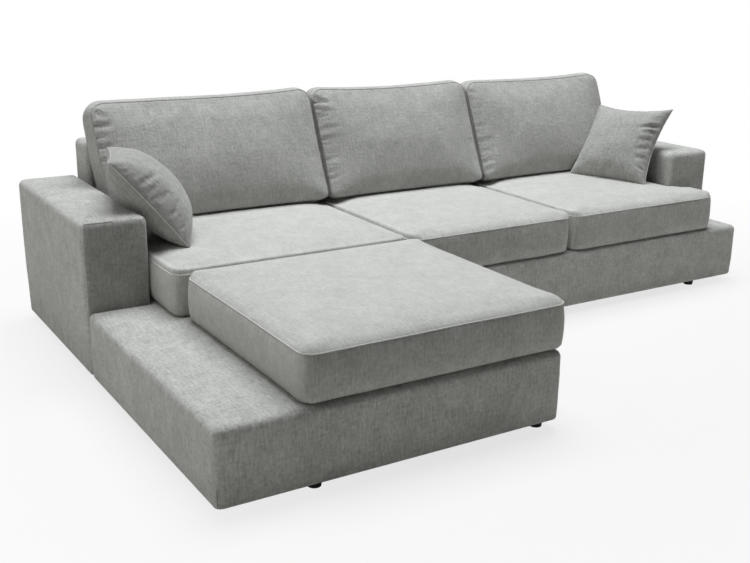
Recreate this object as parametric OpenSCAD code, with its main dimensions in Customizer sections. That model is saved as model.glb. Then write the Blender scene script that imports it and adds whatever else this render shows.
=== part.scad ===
// Corner sofa: a chaise module on the left hooked to a two-seat module on the right,
// with loose seat cushions, back cushions and throw pillows.
// Shapes are placed from the left arm's outer face (x), the seat part's front (y) and the
// floor (z). in_place() then puts the origin in the middle of the footprint, on the floor.

/* [Overall] */
// Width over both arms
sofa_w = 2950; // [2700:10:3200]
// Depth of the seat part, from its front to the backrest's rear
sofa_d = 1050; // [1000:10:1120]
// Width of the chaise module with its arm
chaise_w = 1160; // [1080:10:1240]
// How far the chaise stands out in front of the seat part
chaise_reach = 850; // [700:10:1000]
// Gap between the two modules
module_gap = 1; // [0.6:0.2:4]

/* [Heights] */
// Height of the feet
foot_h = 30; // [24:1:60]
// Height of the upholstered base boxes
base_h = 235; // [215:5:270]
// Height of the arms above the feet
arm_h = 540; // [460:5:600]
// Height of the backrests above the feet
backrest_h = 690; // [640:5:740]

/* [Arms and backrests] */
// Width of an arm
arm_w = 225; // [190:5:260]
// How far the arms' fronts stand behind the seat part's front
arm_setback = 220; // [180:10:280]
// Thickness of a backrest, front to rear
backrest_t = 160; // [130:5:180]

/* [Upholstery] */
// Thickness of a cover with its wadding
cover_t = 12; // [10:1:16]
// Rounding of the covers' top edges
edge_r = 22; // [12:1:28]
// Rounding of the covers' upright corners
corner_r = 22; // [12:1:28]
// Thickness of the hem that returns under a frame
hem_t = 3; // [2:0.5:5]
// How far the hem reaches in under a frame
hem_w = 40; // [25:1:60]
// Thickness of the dust cover
dust_t = 1.5; // [1:0.5:2]
// Thickness of the deck pad under the seat cushions
deck_pad_t = 18; // [10:1:30]
// Thickness of the foam on an arm's top
arm_foam_t = 25; // [15:1:40]
// Thickness of the foam on a backrest's front
back_foam_t = 20; // [12:1:30]

/* [Timber frames] */
// Thickness of the base frames' boards
board_t = 22; // [18:1:28]
// Thickness of the arm and backrest frames' panels
panel_t = 18; // [15:1:22]
// Height of the rails in the arm and backrest frames
rail_h = 80; // [60:5:110]
// Side of the square blocks that the feet are screwed to
block_w = 60; // [50:2:80]
// Height of the blocks that the feet are screwed to
block_h = 60; // [50:2:80]

/* [Webbing] */
// Width of a webbing strap
strap_w = 60; // [40:5:80]
// Thickness of a webbing strap
strap_t = 3; // [2:0.5:4]
// Spacing of the webbing straps
strap_pitch = 110; // [90:5:160]

/* [Feet and hardware] */
// Diameter of a foot at its top
foot_d = 46; // [40:1:60]
// Diameter of a foot at the floor
foot_floor_d = 40; // [34:1:40]
// Distance of the feet's middles from the covers' outer faces
foot_inset = 56; // [46:1:60]
// How far the feet under the front corners beside the arms stand past the base's inner board
foot_shift = 30; // [0:2:40]
// Diameter of the foot screws' shanks
screw_d = 6; // [5:0.5:8]
// Diameter of the foot screws' heads
screw_head_d = 13; // [11:1:16]
// How far a foot screw reaches into its block
screw_bite = 32; // [20:1:40]
// Diameter of the bolts that join arms, backrests and bases
bolt_d = 8; // [6:1:10]
// Width of the bolts' heads across their corners
bolt_head_d = 15; // [13:1:18]
// Height of the bolts' heads
bolt_head_h = 6; // [4:1:8]
// Length of the tee nuts' barrels
nut_l = 12; // [8:1:18]
// Diameter of the tee nuts' flanges
nut_flange_d = 24; // [20:1:30]
// Thickness of the tee nuts' flanges
nut_flange_t = 1.5; // [1:0.5:3]
// Height of the foot screws' heads
screw_head_h = 4; // [3:0.5:6]
// Clearance round the bolts and screws
bolt_play = 0.3; // [0.2:0.1:0.6]

/* [Module connectors] */
// Thickness of the connector plates
plate_t = 3; // [2:0.5:5]
// Width of the connector plates
plate_w = 60; // [50:2:80]
// Diameter of the connector pins
pin_d = 16; // [12:1:20]
// Length of the connector pins
pin_l = 12; // [9:1:18]
// Clearance round the connector pins
pin_play = 0.4; // [0.3:0.1:1]
// Diameter of the plates' screws
plate_screw_d = 5; // [4:0.5:6]
// Length of the plates' screws and the pins' studs above the feet
plate_screw_l = 30; // [20:1:40]
// Distance between the two screws of a plate
plate_screw_span = 36; // [28:1:40]

/* [Seat cushions] */
// Width of the middle seat's place
middle_w = 798; // [700:2:820]
// Height of the cushions' sides, up to the seam
cushion_h = 155; // [130:5:180]
// Height of the cushions' crown above the seam
cushion_crown = 24; // [15:1:40]
// How far the crown rises inwards from the seam
crown_reach = 160; // [100:5:200]
// Rounding of the cushions' upright corners
cushion_r = 42; // [30:2:70]
// Swell of the cushions' sides at half height
side_swell = 8; // [2:1:10]
// How far the cushions' sides pull in between the corners
side_pull = 5; // [2:1:10]
// Gap between a cushion and the next piece
cushion_gap = 4; // [3:1:12]
// Rounding of the cushions' lower edges
lower_r = 16; // [8:1:24]
// Width of the base's ledge beside the chaise cushion
ledge_w = 254; // [240:2:320]
// How far the chaise cushion stands out over the chaise's right side
chaise_overhang = 34; // [0:2:40]
// How far the end seat's cushion swells past the arm, in front of it
front_swell = 75; // [0:5:90]
// Distance from a cushion's outside to its core
core_inset = 22; // [20:1:30]

/* [Back cushions] */
// Height of a back cushion's front, above the seat
back_front_rise = 448; // [380:2:480]
// Height of a back cushion's rear, above the seat
back_rear_rise = 396; // [340:2:410]
// Depth of a back cushion where it stands on the seat
back_foot_d = 185; // [150:5:200]
// Depth of a back cushion at its top
back_top_d = 118; // [90:2:140]
// Lean of a back cushion's rear face, in degrees
back_lean = 18.6; // [14:0.2:22]
// Swell of a back cushion's front
back_crown = 42; // [25:1:50]
// Swell of a back cushion's rear
rear_crown = 8; // [4:1:12]
// Rounding of the back cushions' corners
back_r = 60; // [40:2:80]
// How far a back cushion's sides pull in between the corners
back_pull = 8; // [2:1:14]
// How far the left back cushion spreads over its arm
left_spread = 10; // [0:1:40]
// How far the right back cushion spreads over its arm
right_spread = 46; // [0:1:60]

/* [Throw pillows] */
// Side of a throw pillow
pillow_w = 390; // [360:5:450]
// Swell of a pillow's front
pillow_front = 90; // [70:2:110]
// Swell of a pillow's rear
pillow_rear = 76; // [50:2:80]
// How far a pillow's sides pull in between the corners
pillow_pull = 16; // [10:1:30]
// Lean of the pillows from upright, in degrees
pillow_lean = 40; // [34:1:46]
// Turn of the pillows from facing the front, in degrees
pillow_turn = 72; // [66:1:78]
// Distance of the pillows' middles from the arms
pillow_from_arm = 92; // [88:1:130]
// Distance of the left pillow's middle in front of the back cushions' foot
left_pillow_ahead = 184; // [160:2:210]
// Distance of the right pillow's middle in front of the back cushions' foot
right_pillow_ahead = 159; // [130:2:220]

/* [Zips] */
// Distance of a zip's ends from the cushion's sides
zip_from_side = 95; // [60:5:150]
// Width of a zip
zip_w = 8; // [6:1:12]
// Thickness of a zip
zip_t = 3; // [2:0.5:4]

/* [Hidden] */

fabric = "#b4b5b1";
timber = "#c8a87a";
foam = "#e8e0c6";
elastic = "#3a3a3c";
steel = "#b8babc";
black = "#1c1c1c";

// Sharp inner corners stay inside the cover's wall at these roundings
soft_corner = min(corner_r, 2 * cover_t);
soft_edge = min(edge_r, 2 * cover_t);
least_r = 4;
arc_steps = 4;
edge_steps = 3;
side_points = 3;
past = 1;
rest_gap = 0.3;
round_fn = 32;

base_top = foot_h + base_h;
arm_top = foot_h + arm_h;
backrest_top = foot_h + backrest_h;
back_y = sofa_d - backrest_t;
chaise_r = chaise_w - module_gap / 2;
sofa_l = chaise_w + module_gap / 2;
right_arm_x = sofa_w - arm_w;
frame_z = foot_h + hem_t;
frame_top = base_top - cover_t - deck_pad_t - strap_t;

module in_place() translate([-sofa_w / 2, (chaise_reach - sofa_d) / 2, 0]) children();

// A box between two corners
module block(low, high) translate(low) cube(high - low);

// Lofted forms: rings of as many points each, closed with a fan at both ends
function middle(points) = [for (k = [0:2]) sum([for (p = points) p[k]]) / len(points)];
function sum(v, k = 0) = k < len(v) ? v[k] + sum(v, k + 1) : 0;

module loft(rings) {
  n = len(rings[0]);
  m = len(rings);
  points = [for (ring = rings) each ring, middle(rings[0]), middle(rings[m - 1])];
  sides = [
    for (k = [0:m - 2]) for (i = [0:n - 1]) let (a = k * n + i, b = k * n + (i + 1) % n)
      each [[a, a + n, b], [b, a + n, b + n]]
  ];
  low_fan = [for (i = [0:n - 1]) [m * n, i, (i + 1) % n]];
  high_fan = [for (i = [0:n - 1]) [m * n + 1, (m - 1) * n + (i + 1) % n, (m - 1) * n + i]];
  polyhedron(points = concat(points), faces = concat(sides, low_fan, high_fan), convexity = 4);
}

// Outline of a rounded rectangle of half sizes a and b
function corner_sign(k) = [[1, 1], [-1, 1], [-1, -1], [1, -1]][k];
function corner_arc(a, b, r, k) = [
  for (s = [0:arc_steps]) let (t = 90 * (k + s / arc_steps))
    [corner_sign(k).x * (a - r) + r * cos(t), corner_sign(k).y * (b - r) + r * sin(t)]
];
function rounded_rect(a, b, r) = [for (k = [0:3]) each corner_arc(a, b, r, k)];

// The same with points along the sides, which pull in between the corners
function side_run(from, to, inwards, pull) = [
  for (i = [1:side_points]) let (t = i / (side_points + 1))
    from + (to - from) * t + inwards * pull * 4 * t * (1 - t)
];
function padded_rect(a, b, r, pull) = [
  for (k = [0:3])
    let (
      arc = corner_arc(a, b, r, k),
      next = corner_arc(a, b, r, (k + 1) % 4),
      inwards = -[cos(90 * (k + 1)), sin(90 * (k + 1))]
    )
    each concat(arc, side_run(arc[arc_steps], next[0], inwards, pull))
];
function lift(outline, z) = [for (p = outline) [p.x, p.y, z]];

// An upholstered box: upright corners and top edges rounded
module soft_box(low, high) {
  a = (high.x - low.x) / 2;
  b = (high.y - low.y) / 2;
  h = high.z - low.z;
  turns = [for (s = [0:edge_steps]) 90 * s / edge_steps];
  rings = [
    lift(rounded_rect(a, b, soft_corner), 0),
    for (t = turns) let (inset = soft_edge * (1 - cos(t)))
      lift(rounded_rect(a - inset, b - inset, max(soft_corner - inset, least_r)),
           h - soft_edge * (1 - sin(t)))
  ];
  translate([low.x + a, low.y + b, low.z]) loft(rings);
}

// A cover over the plan boxes in parts: hollow, with a hem round the open bottom.
// Each part is [low corner, high corner] in plan, and a third value says that its hollow
// runs on to the front, into the part before it.
module cover(parts, top) {
  difference() {
    union() for (p = parts) soft_box([p[0].x, p[0].y, foot_h], [p[1].x, p[1].y, top]);
    for (p = parts) {
      hollow(p, cover_t, frame_z, top - cover_t);
      hollow(p, cover_t + hem_w, foot_h - past, frame_z + past);
    }
  }
}
// The inside of one plan box
module hollow(p, inset, low_z, high_z) {
  front = len(p) > 2 ? -inset : inset;
  block([p[0].x + inset, p[0].y + front, low_z], [p[1].x - inset, p[1].y - inset, high_z]);
}
module sheet_in(parts, inset, low_z, high_z) {
  for (p = parts) hollow(p, inset, low_z, high_z);
}

// Plan boxes of the two bases
overlap = 80;
runs_on = true;
chaise_base = [
  [[0, -chaise_reach], [chaise_r, arm_setback]],
  [[arm_w, arm_setback - overlap], [chaise_r, back_y], runs_on]
];
sofa_base = [
  [[sofa_l, 0], [sofa_w, arm_setback]],
  [[sofa_l, arm_setback - overlap], [right_arm_x, back_y], runs_on]
];

// Plan boxes of the left arm and the two backrests
arm_plan = [[[0, arm_setback], [arm_w, sofa_d]]];
chaise_back_plan = [[[arm_w, back_y], [chaise_r, sofa_d]]];
sofa_back_plan = [[[sofa_l, back_y], [right_arm_x, sofa_d]]];

// Bolts: each place is [point under the head, turn that points the shank along its way]
head_left = [0, -90, 0];
head_right = [0, 90, 0];
to_back = [-90, 0, 0];
bolt_z = frame_z + (frame_top - frame_z) / 2;
upper_bolt_z = (base_top + arm_top) / 2;
joint_t = board_t + 2 * cover_t + panel_t;
upper_joint_t = 2 * panel_t + 2 * cover_t;
arm_bolt_in = 120;
back_bolt_in = 200;
arm_bolt_ys = [arm_setback + arm_bolt_in, back_y - arm_bolt_in];
back_bolt_y = (back_y + sofa_d) / 2;
chaise_back_bolt_xs = [arm_w + back_bolt_in, chaise_r - back_bolt_in];
// The middle bolt is beside the backrest's middle post
sofa_middle_bolt_x = (sofa_l + right_arm_x) / 2 + nut_flange_d + panel_t;
sofa_back_bolt_xs = [sofa_l + back_bolt_in, sofa_middle_bolt_x, right_arm_x - back_bolt_in];
rear_board_y = back_y - cover_t - board_t;

module chaise_base_bolt_places() {
  for (y = arm_bolt_ys) translate([arm_w + cover_t + board_t, y, bolt_z]) rotate(head_left) children();
  for (x = chaise_back_bolt_xs) translate([x, rear_board_y, bolt_z]) rotate(to_back) children();
}
module chaise_upper_bolt_place()
  translate([arm_w + cover_t + panel_t, back_bolt_y, upper_bolt_z]) rotate(head_left) children();
module sofa_base_bolt_places() {
  for (y = arm_bolt_ys)
    translate([right_arm_x - cover_t - board_t, y, bolt_z]) rotate(head_right) children();
  for (x = sofa_back_bolt_xs) translate([x, rear_board_y, bolt_z]) rotate(to_back) children();
}
module sofa_upper_bolt_place()
  translate([right_arm_x - cover_t - panel_t, back_bolt_y, upper_bolt_z]) rotate(head_right) children();
module bolt(joint) {
  translate([0, 0, -bolt_head_h]) cylinder(d = bolt_head_d, h = bolt_head_h, $fn = 6);
  cylinder(d = bolt_d, h = joint + nut_l, $fn = round_fn);
}
module bolt_hole(joint) translate([0, 0, -past])
  cylinder(d = bolt_d + 2 * bolt_play, h = joint + 2 * past, $fn = round_fn);
module chaise_bolt_holes() {
  chaise_base_bolt_places() bolt_hole(joint_t);
  chaise_upper_bolt_place() bolt_hole(upper_joint_t);
}
module sofa_bolt_holes() {
  sofa_base_bolt_places() bolt_hole(joint_t);
  sofa_upper_bolt_place() bolt_hole(upper_joint_t);
}
// A tee nut's flange lies on the far side of the joint, its barrel inside the arm or backrest
nut_wall = 2;
module tee_nut(joint) {
  difference() {
    union() {
      translate([0, 0, joint]) cylinder(d = nut_flange_d, h = nut_flange_t, $fn = round_fn);
      translate([0, 0, joint]) cylinder(d = bolt_d + 2 * nut_wall, h = nut_l, $fn = round_fn);
    }
    cylinder(d = bolt_d + 2 * bolt_play, h = joint + nut_l + past, $fn = round_fn);
  }
}

// Feet: places in plan
front_foot_side = foot_inset - 14;
chaise_foot_places = [
  [arm_w + cover_t + board_t + block_w / 2 + foot_shift, -chaise_reach + foot_inset],
  [chaise_r - front_foot_side, -chaise_reach + foot_inset],
  [foot_inset, arm_setback + foot_inset],
  [foot_inset, sofa_d - foot_inset],
  [chaise_r - foot_inset, back_y - foot_inset]
];
sofa_foot_places = [
  [sofa_l + foot_inset, foot_inset],
  [right_arm_x - cover_t - board_t / 2 + foot_shift, foot_inset],
  [sofa_w - foot_inset, arm_setback + foot_inset],
  [sofa_w - foot_inset, sofa_d - foot_inset],
  [sofa_l + foot_inset, back_y - foot_inset],
  [right_arm_x - foot_inset, back_y - foot_inset]
];
head_z = foot_h * 0.6;
screw_end_gap = 2;
foot_hole_top = frame_z + screw_bite + screw_end_gap;
module feet(places) {
  for (p = places) translate([p.x, p.y, 0]) difference() {
    cylinder(d1 = foot_floor_d, d2 = foot_d, h = foot_h, $fn = round_fn);
    translate([0, 0, -past]) cylinder(d = screw_head_d + 2 * bolt_play, h = head_z + past, $fn = round_fn);
    cylinder(d = screw_d + 2 * bolt_play, h = foot_h + past, $fn = round_fn);
  }
}
module foot_screws(places) {
  for (p = places) translate([p.x, p.y, 0]) {
    translate([0, 0, head_z - screw_head_h]) cylinder(d = screw_head_d, h = screw_head_h, $fn = round_fn);
    translate([0, 0, head_z]) cylinder(d = screw_d, h = frame_z + screw_bite - head_z, $fn = round_fn);
  }
}
module foot_screw_holes(places) {
  for (p = places) translate([p.x, p.y, foot_h - past])
    cylinder(d = screw_d + 2 * bolt_play, h = foot_hole_top - foot_h + past, $fn = round_fn);
}
module foot_blocks(places) {
  for (p = places) block([p.x - block_w / 2, p.y - block_w / 2, frame_z],
                         [p.x + block_w / 2, p.y + block_w / 2, frame_z + block_h]);
}

// Connectors between the modules, under the boards that meet at the gap
connector_ys = [0.15, 0.75] * back_y;
plate_screw_x = chaise_r - cover_t - board_t / 2;
pin_x = sofa_l + cover_t + board_t / 2;
plate_top = foot_h - rest_gap;
plate_head_d = 2 * plate_screw_d;
plate_head_h = 3;
module connector_places() for (y = connector_ys) translate([0, y, 0]) children();
module plate_screw_places() connector_places()
  for (side = [-1, 1]) translate([plate_screw_x, side * plate_screw_span / 2, 0]) children();
module plate_screw_holes() plate_screw_places() translate([0, 0, foot_h - past])
  cylinder(d = plate_screw_d + 2 * bolt_play, h = plate_screw_l + 2 * past, $fn = round_fn);
module stud_holes() connector_places() translate([pin_x, 0, foot_h - past])
  cylinder(d = bolt_d + 2 * bolt_play, h = plate_screw_l + 2 * past, $fn = round_fn);

// The chaise module's base; a board closes its ledge, clear of the straps beside it
ledge_gap = 2;
module chaise_frame() in_place() color(timber) difference() {
  far = back_y - cover_t;
  near = -chaise_reach + cover_t;
  left = cover_t;
  spine = arm_w + cover_t;
  right = chaise_r - cover_t;
  ledge_end = arm_setback - cover_t;
  between_bolts = (arm_bolt_ys[0] + arm_bolt_ys[1]) / 2;
  union() {
    block([left, near, frame_z], [left + board_t, ledge_end, frame_top]);
    block([left, near, frame_z], [right, near + board_t, frame_top]);
    block([right - board_t, near, frame_z], [right, far, frame_top]);
    block([spine, near, frame_z], [spine + board_t, far, frame_top]);
    block([spine, far - board_t, frame_z], [right, far, frame_top]);
    block([left, ledge_end - board_t, frame_z], [spine + board_t, ledge_end, frame_top]);
    for (y = [(near + between_bolts) / 2, between_bolts])
      block([spine, y - board_t / 2, frame_z], [right, y + board_t / 2, frame_top - 2 * strap_t]);
    block([left, (near + ledge_end) / 2 - board_t / 2, frame_z],
          [spine + board_t, (near + ledge_end) / 2 + board_t / 2, frame_top]);
    block([left, near, frame_top], [spine - ledge_gap, ledge_end, frame_top + strap_t]);
    foot_blocks([chaise_foot_places[0], chaise_foot_places[1], chaise_foot_places[4]]);
  }
  chaise_bolt_holes();
  foot_screw_holes(chaise_foot_places);
  plate_screw_holes();
}
module straps(x_from, x_to, y_from, y_to) {
  count = floor((y_to - y_from - strap_w) / strap_pitch);
  pitch = (y_to - y_from - strap_w) / count;
  for (k = [0:count]) block([x_from, y_from + k * pitch, frame_top],
                            [x_to, y_from + k * pitch + strap_w, frame_top + strap_t]);
}
module chaise_webbing() in_place() color(elastic)
  straps(arm_w + cover_t, chaise_r - cover_t, -chaise_reach + cover_t, back_y - cover_t);
module chaise_deck_pad() in_place() color(foam)
  sheet_in(chaise_base, cover_t, frame_top + strap_t, base_top - cover_t);
module chaise_base_cover() in_place() color(fabric) difference() {
  cover(chaise_base, base_top);
  chaise_bolt_holes();
  foot_screw_holes(chaise_foot_places);
  plate_screw_holes();
}
module dust_sheet(parts) sheet_in(parts, cover_t + hem_w, frame_z - dust_t, frame_z);
module chaise_dust_cover() in_place() color(black) difference() {
  union() {
    dust_sheet(chaise_base);
    dust_sheet(arm_plan);
    dust_sheet(chaise_back_plan);
  }
  foot_screw_holes(chaise_foot_places);
}

// The two-seat module's base
module sofa_frame() in_place() color(timber) difference() {
  far = back_y - cover_t;
  near = cover_t;
  left = sofa_l + cover_t;
  spine = right_arm_x - cover_t - board_t;
  right = sofa_w - cover_t;
  ledge_end = arm_setback - cover_t;
  union() {
    block([left, near, frame_z], [left + board_t, far, frame_top]);
    block([left, near, frame_z], [right, near + board_t, frame_top]);
    block([spine, near, frame_z], [spine + board_t, far, frame_top]);
    block([left, far - board_t, frame_z], [spine + board_t, far, frame_top]);
    block([right - board_t, near, frame_z], [right, ledge_end, frame_top]);
    block([spine, ledge_end - board_t, frame_z], [right, ledge_end, frame_top]);
    for (t = [1, 2]) let (x = left + (spine - left) * t / 3)
      block([x - board_t / 2, near, frame_z], [x + board_t / 2, far, frame_top - 2 * strap_t]);
    block([spine + board_t + ledge_gap, near, frame_top], [right, ledge_end, frame_top + strap_t]);
    foot_blocks([sofa_foot_places[0], sofa_foot_places[1], sofa_foot_places[4], sofa_foot_places[5]]);
  }
  sofa_bolt_holes();
  foot_screw_holes(sofa_foot_places);
  stud_holes();
}
module sofa_webbing() in_place() color(elastic)
  straps(sofa_l + cover_t, right_arm_x - cover_t, cover_t, back_y - cover_t);
module sofa_deck_pad() in_place() color(foam)
  sheet_in(sofa_base, cover_t, frame_top + strap_t, base_top - cover_t);
module sofa_base_cover() in_place() color(fabric) difference() {
  cover(sofa_base, base_top);
  sofa_bolt_holes();
  foot_screw_holes(sofa_foot_places);
  stud_holes();
}
module sofa_dust_cover() in_place() color(black) difference() {
  union() {
    dust_sheet(sofa_base);
    right_side() dust_sheet(arm_plan);
    dust_sheet(sofa_back_plan);
  }
  foot_screw_holes(sofa_foot_places);
}

// Arms; each is drawn as the left one, and mirrored for the right
module right_side() translate([sofa_w, 0, 0]) mirror([1, 0, 0]) children();
module arm_frame() {
  left = cover_t;
  right = arm_w - cover_t;
  near = arm_setback + cover_t;
  far = sofa_d - cover_t;
  top = arm_top - cover_t - arm_foam_t;
  block([left, near, frame_z], [right, near + panel_t, top]);
  block([left, far - panel_t, frame_z], [right, far, top]);
  block([right - panel_t, near, frame_z], [right, far, top]);
  block([left, near, frame_z], [left + panel_t, far, frame_z + rail_h]);
  block([left, near, top - rail_h], [left + panel_t, far, top]);
  block([left, (near + far) / 2 - panel_t / 2, frame_z], [right, (near + far) / 2 + panel_t / 2, top]);
  foot_blocks([[foot_inset, arm_setback + foot_inset], [foot_inset, sofa_d - foot_inset]]);
}
module arm_foam() block([cover_t, arm_setback + cover_t, arm_top - cover_t - arm_foam_t],
                        [arm_w - cover_t, sofa_d - cover_t, arm_top - cover_t]);
module left_arm_frame() in_place() color(timber) difference() {
  arm_frame();
  chaise_bolt_holes();
  foot_screw_holes(chaise_foot_places);
}
module left_arm_foam() in_place() color(foam) arm_foam();
module left_arm_cover() in_place() color(fabric) difference() {
  cover(arm_plan, arm_top);
  chaise_bolt_holes();
  foot_screw_holes(chaise_foot_places);
}
module right_arm_frame() in_place() color(timber) difference() {
  right_side() arm_frame();
  sofa_bolt_holes();
  foot_screw_holes(sofa_foot_places);
}
module right_arm_foam() in_place() color(foam) right_side() arm_foam();
module right_arm_cover() in_place() color(fabric) difference() {
  right_side() cover(arm_plan, arm_top);
  sofa_bolt_holes();
  foot_screw_holes(sofa_foot_places);
}

// Backrests, from one side to the other
module back_frame(plan) {
  left = plan[0][0].x + cover_t;
  right = plan[0][1].x - cover_t;
  near = back_y + cover_t;
  far = sofa_d - cover_t;
  top = backrest_top - cover_t;
  behind_foam = near + back_foam_t;
  block([left, near, frame_z], [right, near + panel_t, base_top]);
  for (x = [left, (left + right - panel_t) / 2, right - panel_t]) {
    block([x, near, frame_z], [x + panel_t, far, base_top]);
    block([x, behind_foam, frame_z], [x + panel_t, far, top]);
  }
  block([left, behind_foam, top - rail_h], [right, behind_foam + panel_t, top]);
  block([left, far - panel_t, top - rail_h], [right, far, top]);
  block([left, far - panel_t, frame_z], [right, far, frame_z + rail_h]);
}
module back_foam(plan)
  block([plan[0][0].x + cover_t, back_y + cover_t, base_top],
        [plan[0][1].x - cover_t, back_y + cover_t + back_foam_t, backrest_top - cover_t]);
module chaise_back_frame() in_place() color(timber) difference() {
  back_frame(chaise_back_plan);
  chaise_bolt_holes();
}
module chaise_back_foam() in_place() color(foam) back_foam(chaise_back_plan);
module chaise_back_cover() in_place() color(fabric) difference() {
  cover(chaise_back_plan, backrest_top);
  chaise_bolt_holes();
}
module sofa_back_frame() in_place() color(timber) difference() {
  back_frame(sofa_back_plan);
  sofa_bolt_holes();
}
module sofa_back_foam() in_place() color(foam) back_foam(sofa_back_plan);
module sofa_back_cover() in_place() color(fabric) difference() {
  cover(sofa_back_plan, backrest_top);
  sofa_bolt_holes();
}

// Hardware
module chaise_bolts() in_place() color(steel) {
  chaise_base_bolt_places() bolt(joint_t);
  chaise_upper_bolt_place() bolt(upper_joint_t);
}
module sofa_bolts() in_place() color(steel) {
  sofa_base_bolt_places() bolt(joint_t);
  sofa_upper_bolt_place() bolt(upper_joint_t);
}
module chaise_tee_nuts() in_place() color(steel) {
  chaise_base_bolt_places() tee_nut(joint_t);
  chaise_upper_bolt_place() tee_nut(upper_joint_t);
}
module sofa_tee_nuts() in_place() color(steel) {
  sofa_base_bolt_places() tee_nut(joint_t);
  sofa_upper_bolt_place() tee_nut(upper_joint_t);
}
module chaise_feet() in_place() color(black) feet(chaise_foot_places);
module sofa_feet() in_place() color(black) feet(sofa_foot_places);
module chaise_foot_screws() in_place() color(steel) foot_screws(chaise_foot_places);
module sofa_foot_screws() in_place() color(steel) foot_screws(sofa_foot_places);
module connector_plates() in_place() color(steel) difference() {
  connector_places() block([plate_screw_x - plate_w / 2, -plate_w / 2, plate_top - plate_t],
                           [pin_x + plate_w / 2, plate_w / 2, plate_top]);
  connector_places() translate([pin_x, 0, plate_top - plate_t - past])
    cylinder(d = pin_d + 2 * pin_play, h = plate_t + 2 * past, $fn = round_fn);
  plate_screw_places() translate([0, 0, plate_top - plate_t - past])
    cylinder(d = plate_screw_d + 2 * bolt_play, h = plate_t + 2 * past, $fn = round_fn);
}
module connector_plate_screws() in_place() color(steel) plate_screw_places() {
  translate([0, 0, plate_top - plate_t - plate_head_h])
    cylinder(d = plate_head_d, h = plate_head_h, $fn = round_fn);
  translate([0, 0, plate_top - plate_t])
    cylinder(d = plate_screw_d, h = foot_h + plate_screw_l - plate_top + plate_t, $fn = round_fn);
}
module connector_pins() in_place() color(steel) connector_places() translate([pin_x, 0, 0]) {
  translate([0, 0, foot_h - pin_l]) cylinder(d = pin_d, h = pin_l, $fn = round_fn);
  translate([0, 0, foot_h]) cylinder(d = bolt_d, h = plate_screw_l, $fn = round_fn);
}

// Seat cushions: the profile is a list of [inset, height]
cushion_profile = [
  [lower_r, 0], [lower_r * 0.3, lower_r * 0.3], [0, lower_r],
  [-side_swell, cushion_h / 2], [0, cushion_h],
  for (s = [1:4]) [crown_reach * (1 - cos(90 * s / 4)), cushion_h + cushion_crown * sin(90 * s / 4)]
];
// Clear of the arm's front the end seat swells sideways, growing over a short length
swell_from_arm = 20;
swell_growth = 60;
function swell(p, how_far, clear_y) = p.x > 0 && p.y < clear_y
  ? how_far * min(1, (clear_y - p.y) / swell_growth) * p.x : 0;
function shrink(value, inset, half) = value * (1 - inset / half);
function cushion_rings(a, b, front_out, clear_y) = [
  for (p = cushion_profile) let (half = min(a, b), inset = p[0])
    [for (q = padded_rect(a - inset, b - inset, shrink(cushion_r, inset, half), side_pull))
      [q.x + swell(q, front_out / a, clear_y), q.y, p[1]]]
];
// Places of the cushions in plan: [low corner, high corner]
chaise_cushion_place = [[ledge_w, -chaise_reach], [chaise_r + chaise_overhang, 0]];
seat_places = [
  [[arm_w, 0], [chaise_r, back_y]],
  [[sofa_l, 0], [sofa_l + middle_w, back_y]],
  [[sofa_l + middle_w, 0], [right_arm_x, back_y]]
];
function half_size(place) = (place[1] - place[0]) / 2 - [1, 1] * (side_swell + cushion_gap / 2);
function centre(place) = (place[0] + place[1]) / 2;
cushion_low = base_top + rest_gap;
zip_out = side_swell - side_pull - past;
module cushion_core(place) {
  size = half_size(place) - [1, 1] * core_inset;
  block(concat(-size, [core_inset / 2]), concat(size, [cushion_h - core_inset / 2]));
}
module cushion_zip(place, out = 0) {
  end = half_size(place).x - zip_from_side;
  rear = half_size(place).y + zip_out;
  block([-end, rear - zip_t, (cushion_h - zip_w) / 2], [end, rear + out, (cushion_h + zip_w) / 2]);
}
module at_cushion(place) in_place() translate(concat(centre(place), [cushion_low])) children();
module cushion_cover(place, front_out = 0) at_cushion(place) color(fabric) difference() {
  size = half_size(place);
  loft(cushion_rings(size.x, size.y, front_out, arm_setback - swell_from_arm - centre(place).y));
  cushion_core(place);
  cushion_zip(place, side_swell + zip_t);
}
module chaise_cushion_cover() cushion_cover(chaise_cushion_place);
module chaise_cushion_core() at_cushion(chaise_cushion_place) color(foam) cushion_core(chaise_cushion_place);
module chaise_cushion_zip() at_cushion(chaise_cushion_place) color(black) cushion_zip(chaise_cushion_place);
module seat_1_cover() cushion_cover(seat_places[0]);
module seat_2_cover() cushion_cover(seat_places[1]);
module seat_3_cover() cushion_cover(seat_places[2], front_swell);
module seat_1_core() at_cushion(seat_places[0]) color(foam) cushion_core(seat_places[0]);
module seat_2_core() at_cushion(seat_places[1]) color(foam) cushion_core(seat_places[1]);
module seat_3_core() at_cushion(seat_places[2]) color(foam) cushion_core(seat_places[2]);
module seat_1_zip() at_cushion(seat_places[0]) color(black) cushion_zip(seat_places[0]);
module seat_2_zip() at_cushion(seat_places[1]) color(black) cushion_zip(seat_places[1]);
module seat_3_zip() at_cushion(seat_places[2]) color(black) cushion_zip(seat_places[2]);

// Back cushions: x across, v up the cushion from 0 to 1, k from the rear face to the front
seat_top = cushion_low + cushion_h + cushion_crown;
back_z = seat_top + rest_gap;
rear_foot_y = back_y - (backrest_top - back_z) * tan(back_lean) - rear_crown - 2 * rest_gap;
rear_top_y = rear_foot_y + back_rear_rise * tan(back_lean);
front_foot_y = rear_foot_y - back_foot_d;
front_top_y = rear_top_y - back_top_d;
back_len = norm([back_front_rise, front_top_y - front_foot_y]);
function mix(p, q, t) = p + (q - p) * t;
function back_point(v, k) = mix(
  mix([rear_foot_y, back_z], [rear_top_y, back_z + back_rear_rise], v),
  mix([front_foot_y, back_z], [front_top_y, back_z + back_front_rise], v), k);
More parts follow.
